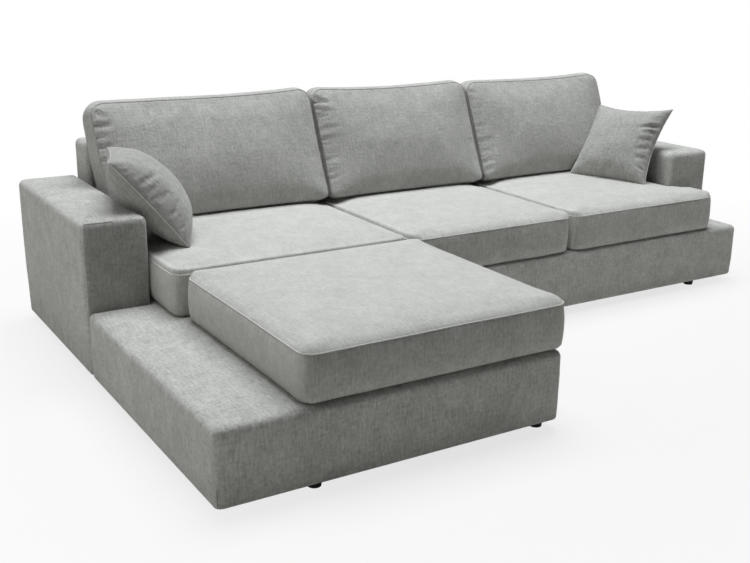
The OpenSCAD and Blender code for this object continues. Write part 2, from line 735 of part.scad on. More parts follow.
// Beside an arm a back cushion is narrower at its foot and spreads above the arm: spread is [left, right]
spread_over = 128;
spread_below = 10;
function spread_at(z) = min(1, (z - arm_top + spread_below) / spread_over);
function placed(x, v, k, mid_x, half, spread) = let (p = back_point(v, k))
  [mid_x + x + (x < 0 ? -spread[0] : spread[1]) * spread_at(p[1]) * abs(x) / half, p[0], max(p[1], back_z)];
rear_inset = 110;
rear_edge = 30;
back_profile = [
  [rear_inset, -rear_crown / back_foot_d], [rear_edge, -rear_crown / back_foot_d / 2], [0, 0.04],
  [-side_swell, 0.5], [0, 0.96],
  for (s = [1:4]) [crown_reach * (1 - cos(90 * s / 4)), 0.96 + back_crown * sin(90 * s / 4) / back_foot_d]
];
back_places = [
  [arm_w, chaise_r],
  [sofa_l, sofa_l + middle_w],
  [sofa_l + middle_w, right_arm_x]
];
function back_half(place) = (place[1] - place[0] - cushion_gap) / 2 - side_swell;
function back_rings(place, spread) = let (a = back_half(place), b = back_len / 2) [
  for (p = back_profile) let (inset = p[0])
    [for (q = padded_rect(a - inset, b - inset, shrink(back_r, inset, b), back_pull * (1 - inset / b)))
      placed(q.x, (q.y + b) / back_len, p[1], (place[0] + place[1]) / 2, a, spread)]
];
module back_form(place, spread) loft(back_rings(place, spread));
module back_filling(place, spread) {
  a = back_half(place) - core_inset;
  v = core_inset / back_len;
  rings = [for (k = [0.16, 0.84]) [
    for (c = [[-a, v], [a, v], [a, 1 - v], [-a, 1 - v]])
      placed(c[0], c[1], k, (place[0] + place[1]) / 2, a, spread)
  ]];
  loft(rings);
}
module back_zip(place, out = 0) {
  end = back_half(place) - zip_from_side;
  mid = back_point(0, 0.5);
  translate([(place[0] + place[1]) / 2, mid[0], back_z + back_pull / 2])
    block([-end, -zip_w / 2, -out], [end, zip_w / 2, zip_t]);
}
module back_cushion_cover(place, spread) in_place() color(fabric) difference() {
  back_form(place, spread);
  back_filling(place, spread);
  back_zip(place, 2 * back_pull);
}
back_spreads = [[left_spread, 0], [0, 0], [0, right_spread]];
module back_1_cover() back_cushion_cover(back_places[0], back_spreads[0]);
module back_2_cover() back_cushion_cover(back_places[1], back_spreads[1]);
module back_3_cover() back_cushion_cover(back_places[2], back_spreads[2]);
module back_1_filling() in_place() color(foam) back_filling(back_places[0], back_spreads[0]);
module back_2_filling() in_place() color(foam) back_filling(back_places[1], back_spreads[1]);
module back_3_filling() in_place() color(foam) back_filling(back_places[2], back_spreads[2]);
module back_1_zip() in_place() color(black) back_zip(back_places[0]);
module back_2_zip() in_place() color(black) back_zip(back_places[1]);
module back_3_zip() in_place() color(black) back_zip(back_places[2]);

// Throw pillows: drawn flat with the front up, thin at the corners
pillow_r = 6;
pillow_reach = pillow_w * 0.38;
pillow_turns = [for (s = [-4:4]) 90 * s / 4];
function corner_share(q, half) = min(abs(q.x), abs(q.y)) / half;
function pillow_rings() =
  let (half = pillow_w / 2, outline = padded_rect(half, half, pillow_r, pillow_pull)) [
    for (t = pillow_turns) let (share = 1 - pillow_reach * (1 - cos(t)) / half)
      [for (q = outline) let (height = sin(t) * sqrt(1 - pow(share * corner_share(q, half), 2)))
        [q.x * share, q.y * share, height * (t > 0 ? pillow_front : pillow_rear)]]
  ];
module pillow_filling() {
  a = pillow_w * 0.32;
  b = pillow_w * 0.18;
  loft([lift(rounded_rect(b, b, b / 4), -pillow_rear * 0.5), lift(rounded_rect(a, a, a / 4), 0),
        lift(rounded_rect(b, b, b / 4), pillow_front * 0.5)]);
}
module pillow_cover() difference() {
  loft(pillow_rings());
  pillow_filling();
}

// They stand on the seat by their lowest point, leant and turned
pillow_drop = min([
  for (ring = pillow_rings()) for (p = ring) p.y * cos(pillow_lean) + p.z * sin(pillow_lean)
]);
pillow_z = seat_top + rest_gap - pillow_drop;
module stand_pillow(ahead) translate([arm_w + pillow_from_arm, front_foot_y - ahead, pillow_z])
  rotate([0, 0, pillow_turn]) rotate([90 - pillow_lean, 0, 0]) children();
module left_pillow_place() in_place() stand_pillow(left_pillow_ahead) children();
module right_pillow_place() in_place() right_side() stand_pillow(right_pillow_ahead) children();
module left_pillow_cover() color(fabric) left_pillow_place() pillow_cover();
module left_pillow_filling() color(foam) left_pillow_place() pillow_filling();
module right_pillow_cover() color(fabric) right_pillow_place() pillow_cover();
module right_pillow_filling() color(foam) right_pillow_place() pillow_filling();

chaise_frame();
chaise_webbing();
chaise_deck_pad();
chaise_base_cover();
chaise_dust_cover();
left_arm_frame();
left_arm_foam();
left_arm_cover();
chaise_back_frame();
chaise_back_foam();
chaise_back_cover();
chaise_bolts();
chaise_tee_nuts();
chaise_feet();
chaise_foot_screws();
connector_plates();
connector_plate_screws();
sofa_frame();
sofa_webbing();
sofa_deck_pad();
sofa_base_cover();
sofa_dust_cover();
right_arm_frame();
right_arm_foam();
right_arm_cover();
sofa_back_frame();
sofa_back_foam();
sofa_back_cover();
sofa_bolts();
sofa_tee_nuts();
sofa_feet();
sofa_foot_screws();
connector_pins();
chaise_cushion_cover();
chaise_cushion_core();
chaise_cushion_zip();
seat_1_cover();
seat_1_core();
seat_1_zip();
seat_2_cover();
seat_2_core();
seat_2_zip();
seat_3_cover();
seat_3_core();
seat_3_zip();
back_1_cover();
back_1_filling();
back_1_zip();
back_2_cover();
back_2_filling();
back_2_zip();
back_3_cover();
back_3_filling();
back_3_zip();
left_pillow_cover();
left_pillow_filling();
right_pillow_cover();
right_pillow_filling();
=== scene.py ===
import math

import bmesh
import bpy
import numpy as np
from mathutils import Matrix, Vector
from mathutils.bvhtree import BVHTree


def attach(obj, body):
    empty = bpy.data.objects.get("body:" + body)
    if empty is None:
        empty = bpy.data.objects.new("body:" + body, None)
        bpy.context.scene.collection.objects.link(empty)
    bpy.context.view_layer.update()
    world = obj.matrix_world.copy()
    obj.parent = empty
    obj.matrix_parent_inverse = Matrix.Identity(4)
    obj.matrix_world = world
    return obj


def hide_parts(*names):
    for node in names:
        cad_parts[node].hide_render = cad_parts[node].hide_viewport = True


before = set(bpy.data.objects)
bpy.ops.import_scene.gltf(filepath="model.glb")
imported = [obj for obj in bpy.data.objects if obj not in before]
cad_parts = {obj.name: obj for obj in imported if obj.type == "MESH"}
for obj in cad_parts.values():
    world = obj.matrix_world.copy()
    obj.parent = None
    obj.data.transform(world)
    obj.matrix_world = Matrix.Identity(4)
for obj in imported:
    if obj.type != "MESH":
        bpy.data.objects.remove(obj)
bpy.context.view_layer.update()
scene = bpy.context.scene

# Shapes are drawn from the left arm's outer face, the seat's front and the floor, in metres
SHIFT = np.array([1.475, 0.100, 0.0])

FOOT, BASE_TOP, ARM_TOP, BACK_TOP = 0.030, 0.265, 0.570, 0.720
CHAISE_R, SOFA_L, WIDTH, ARM_W = 1.1595, 1.1605, 2.950, 0.225
FRONT, SETBACK, BACK_Y, DEPTH = -0.850, 0.220, 0.890, 1.050
RIGHT_ARM = WIDTH - ARM_W
# Where the second and third seats meet
SEAT_SEAM = 1.9585


def added(name, data):
    """A new object in the scene."""
    obj = bpy.data.objects.new(name, data)
    scene.collection.objects.link(obj)
    return obj


def added_mesh(name, points, quads):
    mesh = bpy.data.meshes.new(name)
    mesh.from_pydata(points, [], quads)
    mesh.update()
    return added(name, mesh)


# ---------------------------------------------------------------- camera
CAMERA_AT = (-2.4086, -3.2374, 1.4133)
YAW, PITCH, ROLL = 0.5523, 0.2975, 0.0128
FOCAL_PIXELS, PICTURE_WIDTH = 1050.27, 750.0


def add_camera():
    forward = Vector((math.sin(YAW) * math.cos(PITCH), math.cos(YAW) * math.cos(PITCH), -math.sin(PITCH)))
    level = Vector((math.cos(YAW), -math.sin(YAW), 0.0))
    above = level.cross(forward)
    right = math.cos(ROLL) * level + math.sin(ROLL) * above
    up = -math.sin(ROLL) * level + math.cos(ROLL) * above
    data = bpy.data.cameras.new("camera")
    data.sensor_width = 36.0
    data.sensor_fit = "HORIZONTAL"
    data.lens = FOCAL_PIXELS * data.sensor_width / PICTURE_WIDTH
    data.clip_end = 100.0
    camera = added("camera", data)
    turn = Matrix((right, up, -forward)).transposed()
    camera.matrix_world = Matrix.Translation(CAMERA_AT) @ turn.to_4x4()
    scene.camera = camera


# ---------------------------------------------------------------- materials
def node_material(name):
    material = bpy.data.materials.new(name)
    material.use_nodes = True
    tree = material.node_tree
    return material, tree.nodes, tree.links, tree.nodes["Principled BSDF"]


def set_inputs(node, values):
    for name, value in values.items():
        node.inputs[name].default_value = value
    return node


def scaled(nodes, links, source, scale):
    mapping = set_inputs(nodes.new("ShaderNodeMapping"), {"Scale": scale})
    links.new(source, mapping.inputs["Vector"])
    return mapping.outputs["Vector"]


def noise(nodes, links, vector, scale, detail=2.0, rough=0.5, distortion=0.0):
    node = set_inputs(nodes.new("ShaderNodeTexNoise"), {
        "Scale": scale, "Detail": detail, "Roughness": rough, "Distortion": distortion})
    links.new(vector, node.inputs["Vector"])
    return node.outputs["Fac"]


def stretch(nodes, links, value, low, high, to_low=0.0, to_high=1.0):
    node = set_inputs(nodes.new("ShaderNodeMapRange"), {
        "From Min": low, "From Max": high, "To Min": to_low, "To Max": to_high})
    links.new(value, node.inputs["Value"])
    return node.outputs["Result"]


def joined(nodes, links, operation, a, b):
    node = nodes.new("ShaderNodeMath")
    node.operation = operation
    for socket, value in ((node.inputs[0], a), (node.inputs[1], b)):
        if isinstance(value, (int, float)):
            socket.default_value = value
        else:
            links.new(value, socket)
    return node.outputs[0]


def blend_colour(nodes, links, factor, a, b):
    node = nodes.new("ShaderNodeMix")
    node.data_type = "RGBA"
    links.new(factor, node.inputs["Factor"])
    node.inputs[6].default_value, node.inputs[7].default_value = a + (1.0,), b + (1.0,)
    return node.outputs[2]


def summed(nodes, links, layers):
    """0.5 plus each layer's distance from 0.5 times its weight."""
    total = 0.5 - 0.5 * sum(weight for _, weight in layers)
    for value, weight in layers:
        total = joined(nodes, links, "ADD", joined(nodes, links, "MULTIPLY", value, weight), total)
    return total


def bumped(nodes, links, shader, height, strength, distance):
    bump = set_inputs(nodes.new("ShaderNodeBump"), {"Strength": strength, "Distance": distance})
    links.new(height, bump.inputs["Height"])
    links.new(bump.outputs["Normal"], shader.inputs["Normal"])


def on_cloth(nodes):
    """The place on the cloth, in metres along its threads."""
    uv = nodes.new("ShaderNodeUVMap")
    uv.uv_map = "weave"
    return uv.outputs["UV"]


# Slubs, cross threads, flecks and grain: scale, detail, roughness, share of the tone, share of the height
WEAVE = (((150.0, 18.0, 1.0), 2.0, 0.6, 1.2, 0.6), ((26.0, 120.0, 1.0), 2.0, 0.6, 0.8, 0.4),
         ((115.0, 75.0, 1.0), 1.5, 0.5, 1.1, 0.8), ((700.0, 700.0, 1.0), 1.0, 0.5, 0.3, 0.15))
DARK_SHARE, THREAD_HEIGHT = 0.58, 0.0035


def chenille(name, light, contrast=1.0, cloud=1.0):
    """Soft grey chenille: light is its paler tone, contrast its threads' depth, cloud its nap's mottling."""
    material, nodes, links, shader = node_material(name)
    flat = on_cloth(nodes)
    place = nodes.new("ShaderNodeTexCoord").outputs["Object"]
    threads = [noise(nodes, links, scaled(nodes, links, flat, scale), 1.0, detail, rough)
               for scale, detail, rough, _, _ in WEAVE]
    nap = noise(nodes, links, place, 9.0, 4.0, 0.6, 0.4)
    patch = noise(nodes, links, place, 26.0, 3.0, 0.55)
    layers = [(thread, row[3] * contrast) for thread, row in zip(threads, WEAVE)]
    tone = summed(nodes, links, layers + [(nap, 0.5 * cloud), (patch, 0.45 * cloud)])
    tone = stretch(nodes, links, tone, 0.0, 1.0)
    dark = tuple(DARK_SHARE * c for c in light)
    links.new(blend_colour(nodes, links, tone, dark, light), shader.inputs["Base Color"])
    set_inputs(shader, {"Roughness": 0.95, "Specular IOR Level": 0.15,
                        "Sheen Weight": 0.25, "Sheen Roughness": 0.5})
    height = summed(nodes, links, [(thread, row[4]) for thread, row in zip(threads, WEAVE)])
    bumped(nodes, links, shader, height, 1.0, THREAD_HEIGHT * contrast)
    return material


def grey(value):
    """The sofa's grey is a little warm."""
    return (value, value, 0.94 * value)


# Painted light: the seat cushions get a lighter copy of the one chenille, for the brighter light on their
# tops
CUSHION_FABRIC = chenille("chenille_cushions", grey(0.70), 0.5)
# Painted shade: a darker copy of the cushion chenille for the seat cushions' front and rear bands
SHADED_BOXING_FABRIC = chenille("chenille_boxing_painted_shade", grey(0.625), 0.8, 1.4)
# Painted shade: the back cushions get a darker copy of the one chenille
LOOSE_FABRIC = chenille("chenille_loose", grey(0.585), 0.7, 1.4)
# Painted shade: the pillows get a darker copy still of the one chenille
PILLOW_FABRIC = chenille("chenille_pillows", grey(0.50), 0.8, 1.4)
COVER_FABRIC = chenille("chenille_covers", grey(0.66), 1.0, 1.6)
# Painted shade: a darker copy of the cover chenille for the left arm's front
ARM_FRONT_SHADE_FABRIC = chenille("chenille_arm_front_painted_shade", grey(0.49), 1.0, 1.6)


def two_tone(name, dark, light, scale, rough, bump_by, metal=0.0, cloth=False):
    """A material of two tones mixed by stretched noise, with bump and uneven roughness."""
    material, nodes, links, shader = node_material(name)
    source = on_cloth(nodes) if cloth else nodes.new("ShaderNodeTexCoord").outputs["Object"]
    grain = noise(nodes, links, scaled(nodes, links, source, scale), 1.0, 3.0, 0.55, 0.3)
    grain = stretch(nodes, links, grain, 0.3, 0.7)
    links.new(blend_colour(nodes, links, grain, dark, light), shader.inputs["Base Color"])
    uneven = stretch(nodes, links, grain, 0.0, 1.0, rough * 0.9, min(1.0, rough * 1.1))
    links.new(uneven, shader.inputs["Roughness"])
    shader.inputs["Metallic"].default_value = metal
    bumped(nodes, links, shader, grain, 0.5, bump_by)
    return material


def seam_thread(name, dark, light):
    return two_tone(name, dark, light, (600.0, 800.0, 1.0), 0.9, 0.0006, cloth=True)


# Painted shade: the back cushions' seam cord is darker than their fabric, standing in for the shade in the
# seam's groove
CORD_PAINTED_SHADE = seam_thread("seam_cord_painted_shade", (0.28, 0.28, 0.265), (0.46, 0.46, 0.435))
# Painted highlight: the welt is paler than the fabric, standing in for the light caught along a seam's ridge
WELT_PAINTED_HIGHLIGHT = seam_thread("seam_welt_painted_highlight", (0.56, 0.56, 0.53), (0.80, 0.80, 0.755))
# Painted shade: the covers' seam thread is darker than their fabric, standing in for the shade in the seam's
# groove
STITCH_PAINTED_SHADE = seam_thread("seam_stitch_painted_shade", (0.20, 0.20, 0.19), (0.38, 0.38, 0.36))

INNER_MATERIALS = {
    "timber": ((0.55, 0.38, 0.21), (0.76, 0.60, 0.40), (14.0, 90.0, 90.0), 0.65, 0.0006),
    "foam": ((0.78, 0.73, 0.56), (0.90, 0.86, 0.72), (420.0, 420.0, 420.0), 0.95, 0.0010),
    "fibre": ((0.80, 0.80, 0.78), (0.93, 0.93, 0.91), (60.0, 160.0, 60.0), 0.95, 0.0020),
    "webbing": ((0.035, 0.035, 0.04), (0.10, 0.10, 0.11), (500.0, 500.0, 90.0), 0.85, 0.0006),
    "dust_cloth": ((0.020, 0.020, 0.022), (0.055, 0.055, 0.058), (260.0, 260.0, 260.0), 0.95, 0.0004),
    "zip_tape": ((0.14, 0.14, 0.14), (0.27, 0.27, 0.26), (700.0, 700.0, 700.0), 0.80, 0.0005),
    "foot_plastic": ((0.014, 0.014, 0.015), (0.030, 0.030, 0.031), (240.0, 240.0, 240.0), 0.50, 0.0002),
    "steel": ((0.50, 0.51, 0.53), (0.70, 0.71, 0.73), (40.0, 40.0, 400.0), 0.35, 0.0001, 1.0),
}


def dress_inner_nodes():
    """Every CAD node that stays gets its slot's material."""
    made = {name: two_tone(name + "_finish", *values) for name, values in INNER_MATERIALS.items()}
    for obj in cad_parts.values():
        for held in obj.material_slots:
            if held.material and held.material.name in made:
                held.material = made[held.material.name]


def mixed_out(nodes, links, out, share, first, second):
    """Sends a mix of two shaders to the output."""
    mix = nodes.new("ShaderNodeMixShader")
    for number, source in enumerate((share, first.outputs[0], second.outputs[0])):
        links.new(source, mix.inputs[number])
    links.new(mix.outputs[0], out.inputs[0])


# ---------------------------------------------------------------- mesh tools
def make_object(name, points, quads, uvs, materials, marks):
    obj = added_mesh(name, (points - SHIFT).tolist(), quads)
    mesh = obj.data
    for face in mesh.polygons:
        face.use_smooth = True
    layer = mesh.uv_layers.new(name="weave")
    layer.data.foreach_set("uv", np.asarray(uvs, np.float32).ravel())
    for material in materials:
        mesh.materials.append(material)
    mesh.polygons.foreach_set("material_index", marks)
    return obj


def applied(obj):
    """Applies the object's modifiers."""
    bpy.context.view_layer.update()
    graph = bpy.context.evaluated_depsgraph_get()
    mesh = bpy.data.meshes.new_from_object(obj.evaluated_get(graph))
    obj.modifiers.clear()
    old = obj.data
    obj.data = mesh
    bpy.data.meshes.remove(old)
    for face in mesh.polygons:
        face.use_smooth = True


def vectors_of(items, name):
    values = np.zeros(len(items) * 3)
    items.foreach_get(name, values)
    return values.reshape(-1, 3)


def counts_of(items, name):
    values = np.zeros(len(items), int)
    items.foreach_get(name, values)
    return values


def vertices_of(obj):
    return vectors_of(obj.data.vertices, "co") + SHIFT


def move_vertices(obj, points):
    obj.data.vertices.foreach_set("co", (points - SHIFT).ravel())
    obj.data.update()


def box_mapped(obj):
    """Weave coordinates in metres: each face takes the two axes that it faces least."""
    mesh = obj.data
    layer = mesh.uv_layers.get("weave") or mesh.uv_layers.new(name="weave")
    side = np.abs(vectors_of(mesh.polygons, "normal")).argmax(axis=1)
    side = np.repeat(side, counts_of(mesh.polygons, "loop_total"))[:, None]
    p = vectors_of(mesh.vertices, "co")[counts_of(mesh.loops, "vertex_index")]
    uv = np.where(side == 0, p[:, [1, 2]], np.where(side == 1, p[:, [0, 2]], p[:, [0, 1]]))
    layer.data.foreach_set("uv", uv.astype(np.float32).ravel())


def lattice_noise(points, scale, seed):
    """Smooth noise from -1 to 1 on a lattice of that many cells a metre."""
    p = points * scale + np.array([17.3, 41.9, 5.7]) * (seed + 1)
    base = np.floor(p).astype(np.int64)
    part = p - base
    part = part * part * (3 - 2 * part)
    total = np.zeros(len(points))
    for corner in range(8):
        offset = np.array([corner & 1, (corner >> 1) & 1, (corner >> 2) & 1])
        cell = base + offset
        h = (cell[:, 0] * 73856093) ^ (cell[:, 1] * 19349663) ^ (cell[:, 2] * 83492791) ^ (seed * 2654435761)
        h = (h ^ (h >> 13)) * 1274126177 & 0xFFFFFFFF
        value = (h % 65536) / 32767.5 - 1.0
        weight = np.prod(np.where(offset == 1, part, 1 - part), axis=1)
        total += value * weight
    return total


def waves(at, seed, layers):
    """Smooth unevenness, the sum of noises with the given scales and heights."""
    return sum(lattice_noise(at, scale, seed + k) * height for k, (scale, height) in enumerate(layers))


# ---------------------------------------------------------------- upholstered boxes
def rounded_outline(corners, radius, steps=8):
    """Corners of a plan, counter-clockwise, with the convex ones rounded."""
    out = []
    n = len(corners)
    for i in range(n):
        p, a, b = (np.array(corners[k % n], float) for k in (i, i - 1, i + 1))
        before, after = (p - a) / np.linalg.norm(p - a), (b - p) / np.linalg.norm(b - p)
        if before[0] * after[1] - before[1] * after[0] <= 0:
            out.append(p)
            continue
        start = p - before * radius
        middle = start + np.array([-before[1], before[0]]) * radius
        for s in range(steps + 1):
            angle = math.pi / 2 * s / steps
            outwards = np.array([before[1], -before[0]])
            out.append(middle + radius * (outwards * math.cos(angle) + before * math.sin(angle)))
    return np.array(out)


def nearest_on(outline, points):
    """Nearest point of the outline to each point, the inward direction there and the distance."""
    best = np.full(len(points), 1e9)
    near = np.zeros((len(points), 2))
    inward = np.zeros((len(points), 2))
    for a, b in zip(outline, np.roll(outline, -1, axis=0)):
        along = b - a
        length = np.linalg.norm(along)
        if length < 1e-9:
            continue
        t = np.clip((points - a) @ along / length**2, 0, 1)
        q = a + t[:, None] * along
        d = np.linalg.norm(points - q, axis=1)
        closer = d < best - 1e-9
        best[closer] = d[closer]
        near[closer] = q[closer]
        inward[closer] = np.array([-along[1], along[0]]) / length
    toward = points - near
    far = best > 1e-3
    inside = np.sum(toward * inward, axis=1) > 0
    use = far & inside
    inward[use] = toward[use] / best[use][:, None]
    return near, inward, np.where(inside, best, 0.0)


TOP_R, SIDE_R, BOTTOM_R = 0.024, 0.022, 0.012
VOXEL, HEM, CLOTH = 0.008, 0.040, 0.0025


def upholstered(name, corners, high, shape):
    """A fabric cover over a plan: rounded edges, open below inside its hem."""
    outline = rounded_outline(corners, SIDE_R)
    bm = bmesh.new()
    face = bm.faces.new([bm.verts.new((x, y, FOOT)) for x, y in outline])
    bm.normal_update()
    if face.normal.z > 0:
        face.normal_flip()
    top = bmesh.ops.extrude_face_region(bm, geom=[face])
    for v in [g for g in top["geom"] if isinstance(g, bmesh.types.BMVert)]:
        v.co.z = high
    bmesh.ops.recalc_face_normals(bm, faces=bm.faces)
    mesh = bpy.data.meshes.new(name)
    bm.to_mesh(mesh)
    bm.free()
    mesh.transform(Matrix.Translation((-SHIFT).tolist()))
    obj = added(name, mesh)
    remesh = obj.modifiers.new("remesh", "REMESH")
    remesh.mode = "VOXEL"
    remesh.voxel_size = VOXEL
    remesh.adaptivity = 0.0
    applied(obj)
    p = vertices_of(obj)
    near, inward, s = nearest_on(outline, p[:, :2])
    z = p[:, 2].copy()
    snap = 0.45 * VOXEL
    z[np.abs(z - high) < snap] = high
    z[np.abs(z - FOOT) < snap] = FOOT
    s[s < snap] = 0.0
    for flat, r, sign in ((high, TOP_R, 1.0), (FOOT, BOTTOM_R, -1.0)):
        h = sign * (flat - z)
        round_off = (s < r) & (h < r)
        ds, dh = r - s, r - h
        length = np.maximum(np.hypot(ds, dh), 1e-6)
        # Edge vertices land on the arc
        s = np.where(round_off, r - ds * r / length, s)
        z = np.where(round_off, flat - sign * (r - dh * r / length), z)
    move_vertices(obj, shape(np.column_stack([near + inward * s[:, None], z]), s, inward))
    bm = bmesh.new()
    bm.from_mesh(obj.data)
    bm.verts.ensure_lookup_table()
    open_below = [v for v, inside, height in zip(bm.verts, s, z)
                  if inside > HEM and height < FOOT + 1e-4]
    bmesh.ops.delete(bm, geom=open_below, context="VERTS")
    bm.to_mesh(obj.data)
    bm.free()
    thick = obj.modifiers.new("cloth", "SOLIDIFY")
    thick.thickness = CLOTH
    thick.offset = -1.0
    applied(obj)
    box_mapped(obj)
    obj.data.materials.clear()
    obj.data.materials.append(COVER_FABRIC)
    return obj


def smooth_step(x):
    x = np.clip(x, 0, 1)
    return x * x * (3 - 2 * x)


EDGE_REACH = 0.06
COVER_WAVES = ((8.0, 0.0014), (21.0, 0.0006))


def puffed(sides, rise, crown, high, seed, chaise_side):
    """Stuffs a cover: sides are how far its left, right, front and rear stand out, rise lifts its top.

    chaise_side is for the right face where the chaise stands free."""
    def shape(p, s, inward):
        up = np.clip((p[:, 2] - FOOT) / (high - FOOT), 0, 1)
        ripple = waves(p, seed, COVER_WAVES)
        left, right, front, rear = sides
        facing = (np.clip(inward[:, 0], 0, 1) * left + np.clip(-inward[:, 0], 0, 1) * right
                  + np.clip(inward[:, 1], 0, 1) * front)
        straight = (chaise_side * np.clip(-inward[:, 0], 0, 1) * smooth_step(-p[:, 1] / EDGE_REACH)
                    + rear * np.clip(-inward[:, 1], 0, 1))
        near = 1 - smooth_step(s / EDGE_REACH)
        out = near * (smooth_step(up / 0.4) * facing + straight)
        out = out + ripple * (facing > 0) * near * smooth_step(up / 0.2)
        p[:, :2] -= inward * out[:, None]
        p[:, 2] += rise * up + (up > 0.9) * smooth_step(s / 0.07) * (crown + ripple)
        return p
    return shape


def rectangle(x0, y0, x1, y1):
    return [(x0, y0), (x1, y0), (x1, y1), (x0, y1)]


def top_seams(x0, y0, x1, y1, top, inset=0.007):
    """An arm's top panel is sewn along its outer edge, at x0, and its front."""
    z = top - inset
    inward = math.copysign(inset, x1 - x0)
    outer, inner = x0 + inward, x1 - inward
    return [[(outer, y1 - inset, z), (outer, y0 + inset, z), (inner, y0 + inset, z)]]


CHAISE_PLAN = [(0, FRONT), (CHAISE_R, FRONT), (CHAISE_R, BACK_Y),
               (ARM_W, BACK_Y), (ARM_W, SETBACK), (0, SETBACK)]
SOFA_PLAN = [(SOFA_L, 0), (WIDTH, 0), (WIDTH, SETBACK),
             (RIGHT_ARM, SETBACK), (RIGHT_ARM, BACK_Y), (SOFA_L, BACK_Y)]
STILL = (0.0, 0.0, 0.0, 0.0)
LEFT_RISE, RIGHT_RISE, CHAISE_OUT, SEAM_INSET = 0.002, 0.008, 0.006, 0.006
# Name, body, plan, top, how far the sides stand out, the top's rise and crown, sewn seams
COVERS = (
    ("chaise_base_cover", "chaise_module", CHAISE_PLAN, BASE_TOP, (0.002, 0, 0.002, -0.004), 0, 0,
     [[(SEAM_INSET, FRONT + SEAM_INSET, FOOT + 0.012), (SEAM_INSET, FRONT + SEAM_INSET, BASE_TOP - 0.020)]]),
    ("sofa_base_cover", "sofa_module", SOFA_PLAN, BASE_TOP, (0, 0.003, 0.002, 0), 0, 0, []),
    ("left_arm_cover", "chaise_module", rectangle(0, SETBACK, ARM_W, DEPTH), ARM_TOP,
     (0.006, 0, 0.002, 0.003), LEFT_RISE, 0.004,
     top_seams(0, SETBACK, ARM_W, DEPTH, ARM_TOP + LEFT_RISE)),
    ("right_arm_cover", "sofa_module", rectangle(RIGHT_ARM, SETBACK, WIDTH, DEPTH), ARM_TOP,
     (0, 0.010, 0.003, 0.003), RIGHT_RISE, 0.005,
     top_seams(WIDTH, SETBACK, RIGHT_ARM, DEPTH, ARM_TOP + RIGHT_RISE)),
    ("chaise_back_cover", "chaise_module", rectangle(ARM_W, BACK_Y, CHAISE_R, DEPTH), BACK_TOP,
     STILL, 0, 0.002, []),
    ("sofa_back_cover", "sofa_module", rectangle(SOFA_L, BACK_Y, RIGHT_ARM, DEPTH), BACK_TOP,
     STILL, 0, 0.002, []),
)


def add_covers():
    for name, body, plan, top, sides, rise, crown, seams in COVERS:
        chaise_side = CHAISE_OUT if name == "chaise_base_cover" else 0.0
        shape = puffed(sides, rise, crown, top, len(name), chaise_side)
        obj = upholstered("fabric_" + name, plan, top, shape)
        if seams:
            sewn(obj, seams)
        if name == "left_arm_cover":
            # Painted shade: this front gets a darker copy of the cover chenille, standing in for the shade
            # that falls on it
            obj.data.materials.append(ARM_FRONT_SHADE_FABRIC)
            slot = len(obj.data.materials) - 1
            for face in obj.data.polygons:
                if face.normal.y < -0.75 and face.material_index == 0:
                    face.material_index = slot
        finish_piece(obj, name, body)


# ---------------------------------------------------------------- cushions
def box_grid(us, vs, ws):
    """A welded grid over a box's six sides: parameters from -1 to 1, quads, their sides, vertex numbers."""
    nx, ny, nz = len(us) - 1, len(vs) - 1, len(ws) - 1
    index, params, quads, sides = {}, [], [], []

    def vertex(i, j, k):
        key = (i, j, k)
        if key not in index:
            index[key] = len(params)
            params.append((us[i], vs[j], ws[k]))
        return index[key]

    def add(side, outward, corners):
        q = [vertex(*c) for c in corners]
        quads.append(q if outward else q[::-1])
        sides.append(side)

    for i in range(nx):
        for j in range(ny):
            for k, side in ((nz, 0), (0, 1)):
                add(side, side == 0, ((i, j, k), (i + 1, j, k), (i + 1, j + 1, k), (i, j + 1, k)))
    for i in range(nx):
        for k in range(nz):
            for j, side in ((0, 2), (ny, 3)):
                add(side, side == 2, ((i, j, k), (i + 1, j, k), (i + 1, j, k + 1), (i, j, k + 1)))
    for j in range(ny):
        for k in range(nz):
            for i, side in ((nx, 4), (0, 5)):
                add(side, side == 4, ((i, j, k), (i, j + 1, k), (i, j + 1, k + 1), (i, j, k + 1)))
    return np.array(params), np.array(quads), np.array(sides), index


def edge_loop(index, nx, ny, k):
    """Vertex numbers round the box at height k, counter-clockwise."""
    walk = [(i, 0) for i in range(nx)] + [(nx, j) for j in range(ny)]
    walk += [(i, ny) for i in range(nx, 0, -1)] + [(0, j) for j in range(ny, 0, -1)]
    return [index[(i, j, k)] for i, j in walk]


EDGE_STEPS = (0.0, 0.0015, 0.0035, 0.006, 0.009, 0.013, 0.020, 0.029)


def graded(half, step, fine=EDGE_STEPS):
    """Parameters from -1 to 1 over a length of 2 * half, finer near both ends."""
    inner = half - fine[-1]
    count = max(2, int(round(2 * inner / step)))
    middle = np.linspace(-inner, inner, count + 1)[1:-1]
    ends = [half - f for f in fine]
    values = [-e for e in ends] + middle.tolist() + ends[::-1]
    return np.array(values) / half


def even(length, step):
    return np.linspace(-1, 1, max(3, int(round(length / step)) + 1))


def seam_distance(params, a, b):
    """How far each point is from the edge of its panel, whose half sizes are a and b."""
    return np.minimum(a * (1 - np.abs(params[:, 0])), b * (1 - np.abs(params[:, 1])))


def normals_of(points, quads):
    a, b, c, d = (points[quads[:, k]] for k in range(4))
    face = np.cross(c - a, d - b)
    total = np.zeros_like(points)
    for k in range(4):
        np.add.at(total, quads[:, k], face)
    return total / np.maximum(np.linalg.norm(total, axis=1), 1e-12)[:, None]


FRAMES = 20


